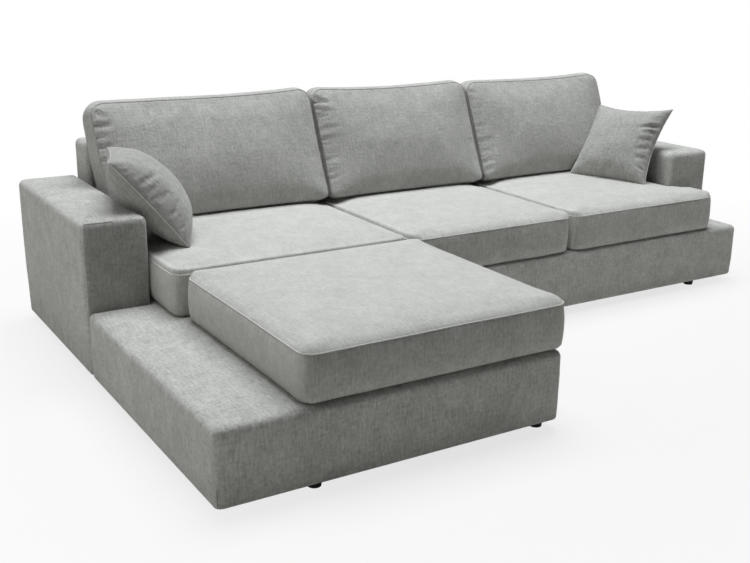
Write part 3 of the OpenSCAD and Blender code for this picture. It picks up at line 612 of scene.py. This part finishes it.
def simulate(points, quads, pinned, pressure, grow, tension, bending):
    """Cloth under pressure from inside; returns where the points come to."""
    obj = added_mesh("draft", points.tolist(), quads.tolist())
    mesh = obj.data
    cloth = obj.modifiers.new("cloth", "CLOTH")
    settings = cloth.settings
    settings.quality = 5
    settings.mass = 0.3
    settings.tension_stiffness = tension
    settings.compression_stiffness = 5.0
    settings.shear_stiffness = 5.0
    settings.bending_stiffness = bending
    settings.use_pressure = True
    settings.uniform_pressure_force = pressure
    settings.shrink_min = -grow
    settings.effector_weights.gravity = 0.0
    group = obj.vertex_groups.new(name="held")
    for weight in np.unique(pinned[pinned > 0]):
        group.add(np.nonzero(pinned == weight)[0].tolist(), float(weight), "REPLACE")
    settings.vertex_group_mass = "held"
    cloth.point_cache.frame_start = 1
    cloth.point_cache.frame_end = FRAMES + 1
    for number in range(1, FRAMES + 1):
        scene.frame_set(number)
    graph = bpy.context.evaluated_depsgraph_get()
    result = obj.evaluated_get(graph).to_mesh()
    out = vectors_of(result.vertices, "co")
    bpy.data.objects.remove(obj)
    bpy.data.meshes.remove(mesh)
    scene.frame_set(1)
    return out


def cubic(values, at):
    """Indices and Catmull-Rom weights on an even grid from -1 to 1 with len(values) lines."""
    n = len(values)
    place = (at + 1) / 2 * (n - 1)
    base = np.clip(np.floor(place).astype(int), 0, n - 2)
    t = place - base
    weights = (((2 - t) * t - 1) * t / 2, ((3 * t - 5) * t * t + 2) / 2,
               ((4 - 3 * t) * t + 1) * t / 2, (t - 1) * t * t / 2)
    return [np.clip(base + k, 0, n - 1) for k in (-1, 0, 1, 2)], weights


def carried_over(moves, coarse, index, params):
    """The coarse grid's moves at the fine grid's parameters, side by side of the box."""
    us, vs, ws = coarse
    size = (len(us) - 1, len(vs) - 1, len(ws) - 1)
    out = np.zeros((len(params), 3))
    done = np.zeros(len(params), bool)
    for axis in (2, 1, 0):
        p, q = [k for k in range(3) if k != axis]
        for sign in (1, -1):
            mine = (np.abs(params[:, axis] - sign) < 1e-9) & ~done
            if not mine.any():
                continue
            grid = np.zeros((size[p] + 1, size[q] + 1, 3))
            for a in range(size[p] + 1):
                for b in range(size[q] + 1):
                    key = [0, 0, 0]
                    key[axis] = size[axis] if sign > 0 else 0
                    key[p], key[q] = a, b
                    grid[a, b] = moves[index[tuple(key)]]
            ia, wa = cubic(coarse[p], params[mine, p])
            ib, wb = cubic(coarse[q], params[mine, q])
            total = np.zeros((mine.sum(), 3))
            for x, wx in zip(ia, wa):
                for y, wy in zip(ib, wb):
                    total += grid[x, y] * (wx * wy)[:, None]
            out[mine] = total
            done |= mine
    return out


def capped(moves, most):
    length = np.linalg.norm(moves, axis=1)
    return moves * (np.minimum(length, most) / np.maximum(length, 1e-9))[:, None]


def padded_form(form, halves, held, seam_held, grow, cap, step):
    """Swells a form on an even grid and carries that over to a fine grid.

    Returns the fine grid's parameters, quads and sides, its points and the loop of its upper seam."""
    a, b, c = halves
    coarse = (even(2 * a, step), even(2 * b, step), even(2 * c, step))
    params, quads, _, coarse_index = box_grid(*coarse)
    start = form(params)
    moves = np.zeros_like(start)
    seam = (params[:, 2] > 0.99) & (seam_distance(params, a, b) < 0.001)
    pinned = np.maximum(held(params), np.where(seam, seam_held, 0.0))
    moves = capped(simulate(start, quads, pinned, 1.0, grow, 20.0, 0.5) - start, cap)
    fine = (graded(a, 0.010), graded(b, 0.010), graded(c, 0.010, EDGE_STEPS[:5]))
    params, quads, sides, index = box_grid(*fine)
    points = form(params) + carried_over(moves, coarse, coarse_index, params)
    return params, quads, sides, points, edge_loop(index, *(len(steps) - 1 for steps in fine))


TUBE_SIDES = 6


def tube(path, radius, closed=True):
    """A thin tube along points: its points, quads and weave coordinates."""
    n, sides = len(path), TUBE_SIDES
    ahead = np.roll(path, -1, axis=0) - np.roll(path, 1, axis=0)
    if not closed:
        ahead[0], ahead[-1] = path[1] - path[0], path[-1] - path[-2]
    ahead /= np.maximum(np.linalg.norm(ahead, axis=1), 1e-9)[:, None]
    up = np.tile(np.array([0.02, 0.03, 1.0]), (n, 1))
    up[np.abs(ahead[:, 2]) > 0.9] = (1.0, 0.03, 0.02)
    across = np.cross(ahead, up)
    across /= np.maximum(np.linalg.norm(across, axis=1), 1e-9)[:, None]
    up = np.cross(across, ahead)
    turns = np.arange(sides) * 2 * math.pi / sides
    wide, high = np.cos(turns)[None, :, None] * across[:, None], np.sin(turns)[None, :, None] * up[:, None]
    rings = path[:, None] + radius * (wide + high)
    quads = []
    for i in range(n if closed else n - 1):
        after = (i + 1) % n
        for k in range(sides):
            turn = (k + 1) % sides
            quads.append([i * sides + k, i * sides + turn, after * sides + turn, after * sides + k])
    run = np.concatenate([[0], np.cumsum(np.linalg.norm(np.diff(path, axis=0), axis=1))])
    uvs = np.array([[run[q // sides], (q % sides) * 0.002] for quad in quads for q in quad])
    return rings.reshape(-1, 3), np.array(quads), uvs


STITCH_R, STITCH_STEP, STITCH_LIFT = 0.0013, 0.006, 0.0003


def sewn(obj, paths):
    """Lays a thin seam on the object's surface along each open path."""
    co = vertices_of(obj)
    tree = BVHTree.FromPolygons(co.tolist(), [list(f.vertices) for f in obj.data.polygons])
    bm = bmesh.new()
    bm.from_mesh(obj.data)
    layer = bm.loops.layers.uv["weave"]
    for path in paths:
        points = []
        for a, b in zip(path[:-1], path[1:]):
            a, b = Vector(a), Vector(b)
            count = max(1, int((b - a).length / STITCH_STEP))
            points += [a.lerp(b, k / count) for k in range(count)]
        points.append(Vector(path[-1]))
        laid = []
        for point in points:
            at, normal, _, _ = tree.find_nearest(point)
            laid.append(at + normal * STITCH_LIFT)
        rings, quads, uvs = tube(np.array(laid), STITCH_R, closed=False)
        verts = [bm.verts.new(v) for v in (rings - SHIFT).tolist()]
        for number, quad in enumerate(quads):
            face = bm.faces.new([verts[k] for k in quad])
            face.material_index = 1
            face.smooth = True
            for corner, uv in zip(face.loops, uvs[4 * number:4 * number + 4]):
                corner[layer].uv = uv
        for ring in (verts[:TUBE_SIDES], verts[-TUBE_SIDES:][::-1]):
            face = bm.faces.new(ring)
            face.material_index = 1
    bm.to_mesh(obj.data)
    bm.free()
    # Painted shade: the seam takes the dark stitch thread for the shade in its groove
    obj.data.materials.append(STITCH_PAINTED_SHADE)


def with_seam(points, quads, uvs, loop, lift, radius):
    """Adds a thin welt along a loop of vertices; marks are 1 on the welt's quads."""
    p, q, t = tube(points[loop] + normals_of(points, quads)[loop] * lift, radius)
    marks = np.repeat([0, 1], [len(quads), len(q)])
    return np.vstack([points, p]), np.vstack([quads, q + len(points)]), np.vstack([uvs, t]), marks


def creased(points, quads, panel, across, up, creases):
    """Puckers: grooves with soft ridges, deepest where they leave the seam.

    Each is (x, y, angle, length, depth, width) on the panel, in metres from its middle."""
    outward = normals_of(points, quads)
    total = np.zeros(len(points))
    for x, y, angle, length, depth, width in creases:
        c, s = math.cos(angle), math.sin(angle)
        dx, dy = across - x, up - y
        along, off = dx * c + dy * s, -dx * s + dy * c
        t = np.clip(along / length, 0, 1)
        beyond = np.where(along < 0, along, np.where(along > length, along - length, 0.0))
        spread = width * (0.8 + 0.6 * t)
        r2 = (off / spread) ** 2 + (beyond / width) ** 2
        total += 1.6 * depth * (1 - t) ** 0.7 * (1.4 * r2 - 1) * np.exp(-r2)
    return points + outward * (total * panel)[:, None]


def round_corner(x, y, a, b, r):
    """Moves points of a rectangle of half sizes a, b onto one with rounded corners, inside points too."""
    qx, qy = np.abs(x) - (a - r), np.abs(y) - (b - r)
    corner = (qx > 0) & (qy > 0)
    cx, cy = np.clip(qx, 0, r) / r, np.clip(qy, 0, r) / r
    rx, ry = cx * np.sqrt(1 - cy**2 / 2), cy * np.sqrt(1 - cx**2 / 2)
    nx = np.where(corner, (a - r + rx * r), np.abs(x))
    ny = np.where(corner, (b - r + ry * r), np.abs(y))
    return np.sign(x) * nx, np.sign(y) * ny


def inner_distance(x, y, a, b, r):
    """Distance inside the rounded rectangle, 0 on its outline, and the outward direction there."""
    qx, qy = np.abs(x) - (a - r), np.abs(y) - (b - r)
    outside = np.hypot(np.maximum(qx, 0), np.maximum(qy, 0))
    d = r - outside - np.minimum(np.maximum(qx, qy), 0)
    corner = (qx > 0) & (qy > 0)
    length = np.maximum(outside, 1e-9)
    nx = np.where(corner, qx / length, (qx >= qy).astype(float))
    ny = np.where(corner, qy / length, (qx < qy).astype(float))
    return np.maximum(d, 0), np.sign(x) * nx, np.sign(y) * ny


def panel_uv(params, quads, sides, sizes, offset):
    """Weave coordinates of each corner of each quad, in metres."""
    a, b, c = sizes
    p = params[quads.ravel()] * np.array([a, b, c / 2])
    side = np.repeat(sides, 4)[:, None]
    uv = np.where(side < 2, p[:, [0, 1]], np.where(side < 4, p[:, [0, 2]], p[:, [1, 2]]))
    return uv + offset


SEAT_LOW, SEAT_H, SEAT_CROWN = 0.2653, 0.146, 0.033
SEAM_IN, DOME = 0.0016, 0.004
SEAT_CLEAR_X, SEAT_CLEAR_Y, LEDGE_CLEAR = 0.0045, 0.0035, 0.020
# How firmly the seam is held, the cloth's growth, the most that a point moves and the grid's step
SEAT_PADDING, BACK_PADDING = (0.9, 0.006, 0.0025, 0.020), (0.95, 0.004, 0.005, 0.018)
SEAT_WAVES, BACK_WAVES = ((7.0, 0.0012), (19.0, 0.0005)), ((6.0, 0.0018), (17.0, 0.0007))
CROWN_REACH, PULL, LOWER_R, CUSHION_R, SHOULDER, SHOULDER_REACH = 0.160, 0.001, 0.015, 0.044, 0.018, 0.034


def seat_point(params, a, b, swell, pressed, front_out, clear_y):
    """A boxed cushion: w from the bottom panel (-1) over the side to the top panel (1).

    pressed says how far its left and right sides, its front and its rear are squeezed by neighbours."""
    u, v, w = params.T
    x, y = round_corner(u * a, v * b, a, b, CUSHION_R)
    d, nx, ny = inner_distance(x, y, a, b, CUSHION_R)
    on_top, on_bottom = w > 0.9999, w < -0.9999
    along = np.where(np.abs(nx) > np.abs(ny), y / b, x / a)
    pull = PULL * np.clip(1 - along**2, 0, 1)
    rise = np.clip(d / CROWN_REACH, 0, 1)
    # The top panel turns over a shoulder at its seam, then swells gently
    squeeze = np.abs(nx) * pressed[0] + np.clip(-ny, 0, 1) * pressed[1] + np.clip(ny, 0, 1) * pressed[2]
    squeeze = np.clip(squeeze, 0, 1)
    reach = SHOULDER_REACH * (1 - 0.68 * squeeze)
    shoulder = SHOULDER * (1 - (1 - np.clip(d / reach, 0, 1)) ** (2 + squeeze))
    crown = shoulder + (SEAT_CROWN - SHOULDER) * np.sin(rise * math.pi / 2)
    dome = DOME * np.clip(1 - u**2, 0, 1) * np.clip(1 - v**2, 0, 1)
    # The side runs from the tucked lower edge up to the seam
    t = (w + 1) / 2
    arc = LOWER_R * math.pi / 2
    length = arc + SEAT_H - LOWER_R
    run = t * length
    turn = np.clip(run / LOWER_R, 0, math.pi / 2)
    side_z = np.where(run < arc, LOWER_R * (1 - np.cos(turn)), LOWER_R + run - arc)
    side_in = np.where(run < arc, LOWER_R * (1 - np.sin(turn)), 0.0)
    near_seam = np.clip((side_z - SEAT_H + 0.010) / 0.010, 0, 1)
    side_in = side_in + SEAM_IN * near_seam**2
    most = swell[0] * np.abs(nx) + swell[1] * np.abs(ny)
    bulge = most * np.sin(math.pi * np.clip(side_z / SEAT_H, 0, 1)) ** 0.8
    z = np.where(on_top, SEAT_H + crown + dome, np.where(on_bottom, 0.0, side_z))
    top_out = -pull * np.clip(1 - d / 0.2, 0, 1) - SEAM_IN * np.exp(-d / 0.004)
    out = np.where(on_top, top_out, bulge - side_in - pull)
    x = np.where(on_bottom, x * (1 - LOWER_R / a), x)
    y = np.where(on_bottom, y * (1 - LOWER_R / b), y)
    out = np.where(on_bottom, 0.0, out)
    x, y = x + nx * out, y + ny * out
    if front_out:
        x = x + np.clip(x / a, 0, None) * front_out * smooth_step((clear_y - y) / 0.06)
    return np.column_stack([x, y, z])


def finish_piece(obj, node, body):
    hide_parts(node)
    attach(obj, body)


def seat_cushion(name, place, body, seed, swell, pressed, front_out=0.0):
    (x0, y0), (x1, y1) = place
    a, b = (x1 - x0) / 2 - swell[0] - SEAT_CLEAR_X, (y1 - y0) / 2 - swell[1] - SEAT_CLEAR_Y
    mid = np.array([(x0 + x1) / 2, (y0 + y1) / 2, SEAT_LOW])
    clear_y = SETBACK - LEDGE_CLEAR - mid[1]

    def form(params):
        return seat_point(params, a, b, swell, pressed, front_out, clear_y)

    def held(params):
        return np.where(params[:, 2] < -0.99, 1.0, 0.0)

    halves = (a, b, SEAT_H / 2)
    params, quads, sides, points, loop = padded_form(form, halves, held, *SEAT_PADDING)
    world = points + mid
    on_top = params[:, 2] > 0.99
    ripple = waves(world, seed, SEAT_WAVES)
    edge = seam_distance(params, a, b)
    near = np.where(on_top, np.clip(edge / 0.05, 0, 1), 1.0) * (params[:, 2] > -0.99)
    seam_wave = lattice_noise(world, 30.0, seed + 2) * 0.0005 * np.exp(-edge / 0.020) * (params[:, 2] > 0)
    points = points + normals_of(points, quads) * (ripple * near + seam_wave)[:, None]
    points[:, 2] = np.maximum(points[:, 2], 0.0)
    uvs = panel_uv(params, quads, sides, (a, b, SEAT_H), x0)
    p, q, t, marks = with_seam(points, quads, uvs, loop, 0.0009, 0.0018)
    # Painted shade: the front and rear bands take the darker boxing copy; the left and right bands keep the
    # top's tone
    marks[:len(sides)] = np.where((sides == 2) | (sides == 3), 2, 0)
    obj = make_object("fabric_" + name, p + mid, q.tolist(), t, (CUSHION_FABRIC, WELT_PAINTED_HIGHLIGHT, SHADED_BOXING_FABRIC), marks)
    finish_piece(obj, name, body)


BACK_Z = SEAT_TOP = 0.4446
LEAN = math.tan(math.radians(18.6))
REAR_RISE, FRONT_RISE, FOOT_DEPTH, TOP_DEPTH = 0.396, 0.448, 0.185, 0.118
REAR_SWELL, REAR_CLEAR = 0.008, 0.0006
REAR_FOOT = BACK_Y - (BACK_TOP - BACK_Z) * LEAN - REAR_SWELL - REAR_CLEAR
REAR_TOP = REAR_FOOT + REAR_RISE * LEAN
FRONT_FOOT, FRONT_TOP = REAR_FOOT - FOOT_DEPTH, REAR_TOP - TOP_DEPTH
BACK_LEN = math.hypot(FRONT_RISE, FRONT_TOP - FRONT_FOOT)
BACK_R, BACK_FOOT_R, BACK_PULL, BACK_SWELL, BACK_REACH, TUCK = 0.055, 0.045, 0.004, 0.005, 0.235, 0.015
BACK_CROWN = 0.050
TOP_SWELL, TOP_SEAM_DROP = 0.026, 0.008


def back_point(params, mid_x, a, spread, sag, ears):
    """A boxed cushion that leans back: w from the rear panel (-1) over the side to the front panel (1)."""
    u, v, w = params.T
    b = BACK_LEN / 2
    radius = np.where(v > 0, BACK_R, BACK_FOOT_R)
    x, y = round_corner(u * a, v * b, a, b, radius)
    d, nx, ny = inner_distance(x, y, a, b, radius)
    front, rear = w > 0.9999, w < -0.9999
    along = np.where(np.abs(nx) > np.abs(ny), y / b, x / a)
    pull = BACK_PULL * np.clip(1 - along**2, 0, 1)
    # A smooth nearest distance to two edges, so that no ridge runs in from the corners
    dx, dy = a - np.abs(x), b - np.abs(y)
    blended = (dx + dy - np.sqrt((dx - dy) ** 2 + 0.4 * np.abs(dx * dy))) / 2
    rise = np.clip(blended / BACK_REACH, 0, 1)
    lift = 0.007 * (1 - np.exp(-d / 0.010)) + BACK_CROWN * np.sin(rise * math.pi / 2)
    k_front = 0.96 + lift / FOOT_DEPTH
    rise_rear = np.clip(d / 0.110, 0, 1)
    k_rear = 0.04 - (0.04 + REAR_SWELL / FOOT_DEPTH) * np.sqrt(1 - (1 - rise_rear) ** 2)
    t = (w + 1) / 2
    k = np.where(front, k_front, np.where(rear, k_rear, 0.04 + 0.92 * t))
    # The boxing on top swells more and hides its slope; the seam in front lies a little lower
    sine = np.sin(math.pi * t)
    above = np.clip(ny, 0, 1) * np.clip(sine, 0, 1) ** 0.6
    bulge = BACK_SWELL * sine + (TOP_SWELL - BACK_SWELL) * above
    fade = np.clip(1 - d / 0.2, 0, 1)
    out = np.where(front | rear, -pull * fade, bulge - pull)
    x, y = x + nx * out, y + ny * out
    # The top sags between its corners, which stand up a little
    corner = np.where(u < 0, ears[0], ears[1]) * np.abs(u) ** 3
    y = y + (corner - sag * np.clip(1 - u**2, 0, 1) - TOP_SEAM_DROP) * np.clip(v, 0, 1) ** 2
    height = (y + b) / BACK_LEN
    rear_y, rear_z = REAR_FOOT + height * (REAR_TOP - REAR_FOOT), BACK_Z + height * REAR_RISE
    front_y, front_z = FRONT_FOOT + height * (FRONT_TOP - FRONT_FOOT), BACK_Z + height * FRONT_RISE
    # The front's lower edge is tucked under, so that a dark crevice shows above the seat
    tuck = TUCK * smooth_step((k - 0.70) / 0.26) * np.clip(1 - (y + b) / 0.060, 0, 1) ** 1.5
    k = k - 0.55 * tuck / FOOT_DEPTH
    py, pz = rear_y + (front_y - rear_y) * k, rear_z + (front_z - rear_z) * k + tuck
    grow = np.minimum(1, (pz - ARM_TOP + 0.010) / 0.128)
    x = mid_x + x + np.where(x < 0, -spread[0], spread[1]) * grow * np.abs(x) / a
    return np.column_stack([x, py, np.maximum(pz, BACK_Z)])


def back_cushion(name, place, spread, body, seed, sag, ears, creases):
    x0, x1 = place
    a = (x1 - x0 - 0.004) / 2 - BACK_SWELL
    b, c = BACK_LEN / 2, 0.075
    mid_x = (x0 + x1) / 2

    def form(params):
        return back_point(params, mid_x, a, spread, sag, ears)

    def held(params):
        _, v, w = params.T
        return np.where((w < -0.99) | (v < -0.99), 1.0, np.where(w < 0.99, 0.8, 0.0))

    params, quads, sides, points, loop = padded_form(form, (a, b, c), held, *BACK_PADDING)
    front = params[:, 2] > 0.99
    edge = seam_distance(params, a, b)
    free = (params[:, 2] > -0.99) & (params[:, 1] > -0.99)
    ripple = waves(points, seed, BACK_WAVES)
    near = np.where(front, np.clip(edge / 0.06, 0, 1), 0.6) * free
    seam_wave = lattice_noise(points, 26.0, seed + 2) * 0.0006 * np.exp(-edge / 0.022)
    seam_wave = seam_wave * (params[:, 2] > 0) * free
    points = points + normals_of(points, quads) * (ripple * near + seam_wave)[:, None]
    points = creased(points, quads, front.astype(float), params[:, 0] * a, params[:, 1] * b, creases)
    points[:, 2] = np.maximum(points[:, 2], BACK_Z)
    uvs = panel_uv(params, quads, sides, (a, b, 2 * c), x0 + 3)
    p, q, t, marks = with_seam(points, quads, uvs, loop, 0.0006, 0.0016)
    # Painted shade: the seam cord is dark for the shade in its groove
    obj = make_object("fabric_" + name, p, q.tolist(), t, (LOOSE_FABRIC, CORD_PAINTED_SHADE), marks)
    finish_piece(obj, name, body)


PILLOW_LEAN, PILLOW_TURN = math.radians(40), math.radians(72)
PILLOW_CELLS, PILLOW_PULL = 44, 0.050


def pillow_sheets():
    """Two square panels joined round their edge: parameters (u, v, side), quads and the edge's vertices."""
    n = PILLOW_CELLS
    even_steps = np.linspace(-1, 1, n + 1)
    grid = 0.65 * even_steps + 0.35 * np.sin(even_steps * math.pi / 2)
    params, quads, index = [], [], {}

    def vertex(i, j, side):
        key = (i, j, 0 if i in (0, n) or j in (0, n) else side)
        if key not in index:
            index[key] = len(params)
            params.append((grid[i], grid[j], key[2]))
        return index[key]

    for side in (1, -1):
        for i in range(n):
            for j in range(n):
                q = [vertex(*c, side) for c in ((i, j), (i + 1, j), (i + 1, j + 1), (i, j + 1))]
                quads.append(q if side > 0 else q[::-1])
    return np.array(params), np.array(quads), edge_loop(index, n, n, 0)


def pillow_rotation(right):
    turn = Matrix.Rotation(PILLOW_TURN, 3, "Z") @ Matrix.Rotation(math.pi / 2 - PILLOW_LEAN, 3, "X")
    if right:
        turn = Matrix.Diagonal((-1, 1, 1)) @ turn
    return np.array(turn)


def swollen_pillow(params, quads, half, front, rear, sag, near_pull, seed):
    """The panels swell from a thinner form while their joined edge holds its place."""
    u, v, side = params.T
    inside = np.clip((1 - u**2) * (1 - v**2), 0, 1)
    x = u * half * (1 - (PILLOW_PULL + near_pull * (u < 0)) * (1 - v**2))
    y = v * half * (1 - (PILLOW_PULL + sag * (v > 0)) * (1 - u**2))
    z = 0.85 * np.where(side > 0, front, -rear) * inside**0.5 * (side != 0)
    start = np.column_stack([x, y, z])
    start[:, 2] += lattice_noise(start, 13.0, seed) * 0.004 * inside
    points = start.copy()
    points += capped(simulate(start, quads, (side == 0) * 1.0, 5.0, 0.012, 25.0, 0.4) - start, 0.025)
    for sign, height in ((1, front), (-1, -rear)):
        mine = side == sign
        points[mine, 2] *= height / (points[mine, 2] * sign).max() * sign
    return points


def seam_puckers(seed, half, per_side, depth):
    """Short creases that leave the seam on all four sides of a pillow."""
    rng = np.random.default_rng(seed)
    out = []
    for turn in range(4):
        angle = turn * math.pi / 2
        for along in np.linspace(-0.75, 0.75, per_side) + rng.uniform(-0.08, 0.08, per_side):
            x, y = -half * 0.93, along * half
            c, s = math.cos(angle), math.sin(angle)
            out.append((x * c - y * s, x * s + y * c, angle + rng.uniform(-0.35, 0.35),
                        rng.uniform(0.02, 0.055), depth * rng.uniform(0.4, 1.0), rng.uniform(0.006, 0.011)))
    return out


def pillow(name, right, body, seed, half, swell, sag, near_pull, creases, ears, at):
    """A throw pillow, leant and turned. creases are for its front, ears are shifts of its corners."""
    params, quads, loop = pillow_sheets()
    points = swollen_pillow(params, quads, half, *swell, sag, near_pull, seed)
    u, v, side = params.T
    front = [(-0.93 * half, y, *rest) for y, *rest in creases] + seam_puckers(seed, half, 5, 0.0035)
    for sign, marks in ((1, front), (-1, seam_puckers(seed + 1, half, 6, 0.005))):
        points = creased(points, quads, (side == sign) * 1.0, u * half, v * half, marks)
    points = points @ pillow_rotation(right).T
    points += np.array([at[0], at[1], SEAT_TOP - points[:, 2].min()])
    for (cu, cv), shift in ears:
        weight = np.clip((1 + cu * u) / 2, 0, 1) ** 2 * np.clip((1 + cv * v) / 2, 0, 1) ** 2
        points += weight[:, None] * np.array(shift)
    points[:, 2] = np.maximum(points[:, 2], SEAT_TOP)
    if right:
        quads = quads[:, ::-1]
        loop = loop[::-1]
    uvs = params[quads.ravel()][:, :2] * half + seed
    p, q, t, marks = with_seam(points, quads, uvs, loop, 0.0, 0.0013)
    obj = make_object("fabric_" + name, p, q.tolist(), t, (PILLOW_FABRIC, WELT_PAINTED_HIGHLIGHT), marks)
    smooth = obj.modifiers.new("smooth", "SUBSURF")
    smooth.levels = smooth.render_levels = 1
    applied(obj)
    finish_piece(obj, name, body)


# ---------------------------------------------------------------- stage and light
WHITE, ROOM_GREY, FLOOR_TONE = (1.0, 1.0, 1.0, 1.0), (0.03, 0.03, 0.03, 1.0), (0.73, 0.725, 0.69, 1.0)
FLOOR_WHITE, FLOOR_HALF = 0.75, 30.0
# The floor starts to run into white and is white at these distances from the sofa's middle
FADE_FROM, FADE_TO = 1.2, 3.2


def add_stage():
    """A pale floor that keeps the shadow near the sofa and runs into white further out."""
    corners = rectangle(-FLOOR_HALF, -FLOOR_HALF, FLOOR_HALF, FLOOR_HALF)
    floor = added_mesh("floor", [(x, y, 0) for x, y in corners], [(0, 1, 2, 3)])
    material, nodes, links, shader = node_material("floor")
    set_inputs(shader, {"Base Color": FLOOR_TONE, "Roughness": 0.9, "Specular IOR Level": 0.0})
    white = set_inputs(nodes.new("ShaderNodeEmission"), {"Color": WHITE})
    place = nodes.new("ShaderNodeTexCoord").outputs["Object"]
    length = nodes.new("ShaderNodeVectorMath")
    length.operation = "LENGTH"
    links.new(place, length.inputs[0])
    far = stretch(nodes, links, length.outputs["Value"], FADE_FROM, FADE_TO, FLOOR_WHITE, 1.0)
    path = nodes.new("ShaderNodeLightPath")
    share = joined(nodes, links, "MULTIPLY", far, path.outputs["Is Camera Ray"])
    mixed_out(nodes, links, nodes["Material Output"], share, shader, white)
    floor.data.materials.append(material)


def area_light(name, at, toward, size, power, colour=(1.0, 1.0, 1.0)):
    data = bpy.data.lights.new(name, "AREA")
    data.shape = "RECTANGLE"
    data.size, data.size_y = size
    data.energy = power
    data.color = colour
    obj = added(name, data)
    obj.visible_camera = False
    obj.location = at
    obj.rotation_euler = (Vector(toward) - Vector(at)).to_track_quat("-Z", "Y").to_euler()


def add_light():
    world = bpy.data.worlds.new("studio")
    scene.world = world
    world.use_nodes = True
    nodes, links = world.node_tree.nodes, world.node_tree.links
    nodes.clear()
    out = nodes.new("ShaderNodeOutputWorld")
    path = nodes.new("ShaderNodeLightPath")
    room, white = (set_inputs(nodes.new("ShaderNodeBackground"), {"Color": tone})
                   for tone in (ROOM_GREY, WHITE))
    seen = joined(nodes, links, "MAXIMUM", path.outputs["Is Camera Ray"], path.outputs["Is Glossy Ray"])
    seen = joined(nodes, links, "MAXIMUM", seen, path.outputs["Is Transmission Ray"])
    mixed_out(nodes, links, out, seen, room, white)
    area_light("overhead", (0.25, 0.98, 6.5), (0.25, 0.88, 0.3), (5.0, 3.6), 482.0, (0.94, 0.965, 1.0))
    area_light("left", (-4.3, 0.4, 4.3), (0.0, 0.0, 0.4), (2.5, 2.5), 36.0)
    area_light("right", (4.6, 0.6, 4.3), (0.0, 0.3, 0.4), (2.5, 2.5), 34.0, (0.97, 0.98, 1.0))
    area_light("floor_left", (-2.9, -0.1, 0.02), (-2.2, -0.1, 3.0), (2.4, 4.0), 33.0, (1.0, 0.99, 0.95))


add_camera()
add_stage()
add_light()
add_covers()
dress_inner_nodes()
EXPOSED, SHARED, ARM_FRONT_OUT = (0.006, 0.004), (0.002, 0.004), 0.077
CHAISE_PLACE = ((0.254, FRONT), (1.1935, 0.0))
seat_cushion("chaise_cushion_cover", CHAISE_PLACE, "chaise_cushion", 11, EXPOSED, (0, 0, 1))
seat_cushion("seat_1_cover", ((ARM_W, 0.0), (CHAISE_R, BACK_Y)), "seat_1", 21, SHARED, (1, 1, 1))
seat_cushion("seat_2_cover", ((SOFA_L, 0.0), (SEAT_SEAM, BACK_Y)), "seat_2", 31, SHARED, (1, 0, 1))
seat_cushion("seat_3_cover", ((SEAT_SEAM, 0.0), (RIGHT_ARM, BACK_Y)), "seat_3", 41, SHARED, (1, 0, 1),
             ARM_FRONT_OUT)

FACE = BACK_LEN / 2


def side_creases(x, rows):
    """Creases from the left seam: height as a share of half the cushion's, angle, length, depth."""
    return [(x, v * FACE, angle, length, depth, 0.009) for v, angle, length, depth in rows]


back_cushion("back_1_cover", (ARM_W, CHAISE_R), (0.010, 0.0), "back_1", 51, 0.002, (-0.003, 0.011), [
    (-0.440, 0.86 * FACE, -0.9, 0.050, 0.006, 0.012), (-0.452, 0.62 * FACE, -0.1, 0.060, 0.0080, 0.012),
    (-0.455, 0.43 * FACE, 0.05, 0.045, 0.0040, 0.009), (-0.455, 0.27 * FACE, -0.05, 0.050, 0.0050, 0.009),
    (-0.455, 0.06 * FACE, 0.10, 0.045, 0.0040, 0.008), (-0.455, -0.15 * FACE, 0.0, 0.040, 0.0030, 0.008)])
back_cushion("back_2_cover", (SOFA_L, SEAT_SEAM), (0.0, 0.0), "back_2", 61, 0.006, (0.006, 0.002),
             side_creases(-0.386, (
                 (0.86, -0.6, 0.060, 0.0060), (0.76, -0.1, 0.070, 0.0060), (0.62, -0.15, 0.075, 0.0065),
                 (0.50, 0.1, 0.050, 0.0040), (0.28, 0.05, 0.080, 0.0060), (0.11, -0.1, 0.060, 0.0045),
                 (0.00, 0.1, 0.055, 0.0035), (-0.26, 0.1, 0.060, 0.0040), (-0.48, 0.2, 0.050, 0.0040),
                 (-0.60, 0.3, 0.050, 0.0035))))
back_cushion("back_3_cover", (SEAT_SEAM, RIGHT_ARM), (0.0, 0.046), "back_3", 71, 0.010, (-0.006, 0.002),
             side_creases(-0.370, (
                 (0.82, -0.5, 0.050, 0.0040), (0.45, 0.0, 0.050, 0.0025), (0.10, 0.0, 0.060, 0.0030),
                 (-0.18, 0.05, 0.075, 0.0045), (-0.38, 0.1, 0.065, 0.0045), (-0.59, 0.2, 0.060, 0.0040),
                 (-0.75, 0.3, 0.045, 0.0040))))
pillow("left_pillow_cover", False, "left_pillow", 5, 0.2025, (0.108, 0.096), 0.0, 0.0, (
    (0.075, -0.25, 0.080, 0.0075, 0.009), (0.033, -0.10, 0.040, 0.0045, 0.007),
    (-0.015, 0.10, 0.040, 0.0035, 0.007), (-0.076, 0.25, 0.065, 0.0065, 0.009),
    (-0.134, 0.30, 0.050, 0.0050, 0.008)),
    [((1, 1), (-0.012, 0.004, -0.016)), ((-1, 1), (-0.008, 0.005, 0.0)), ((-1, -1), (-0.008, 0.005, 0.0))],
    (ARM_W + 0.086, FRONT_FOOT - 0.180))
pillow("right_pillow_cover", True, "right_pillow", 8, 0.196, (0.092, 0.088), 0.045, 0.10, (
    (0.090, -0.45, 0.100, 0.0100, 0.012), (0.055, -0.30, 0.070, 0.0080, 0.010),
    (0.015, -0.35, 0.060, 0.0060, 0.009), (-0.025, -0.50, 0.060, 0.0075, 0.010),
    (-0.075, -0.35, 0.055, 0.0065, 0.009), (-0.130, 0.10, 0.040, 0.0050, 0.008)),
    [((-1, 1), (-0.010, 0.006, 0.022)), ((1, 1), (0.0, 0.0, 0.006))],
    (RIGHT_ARM - 0.095, FRONT_FOOT - 0.157))

scene.view_settings.view_transform = "Standard"
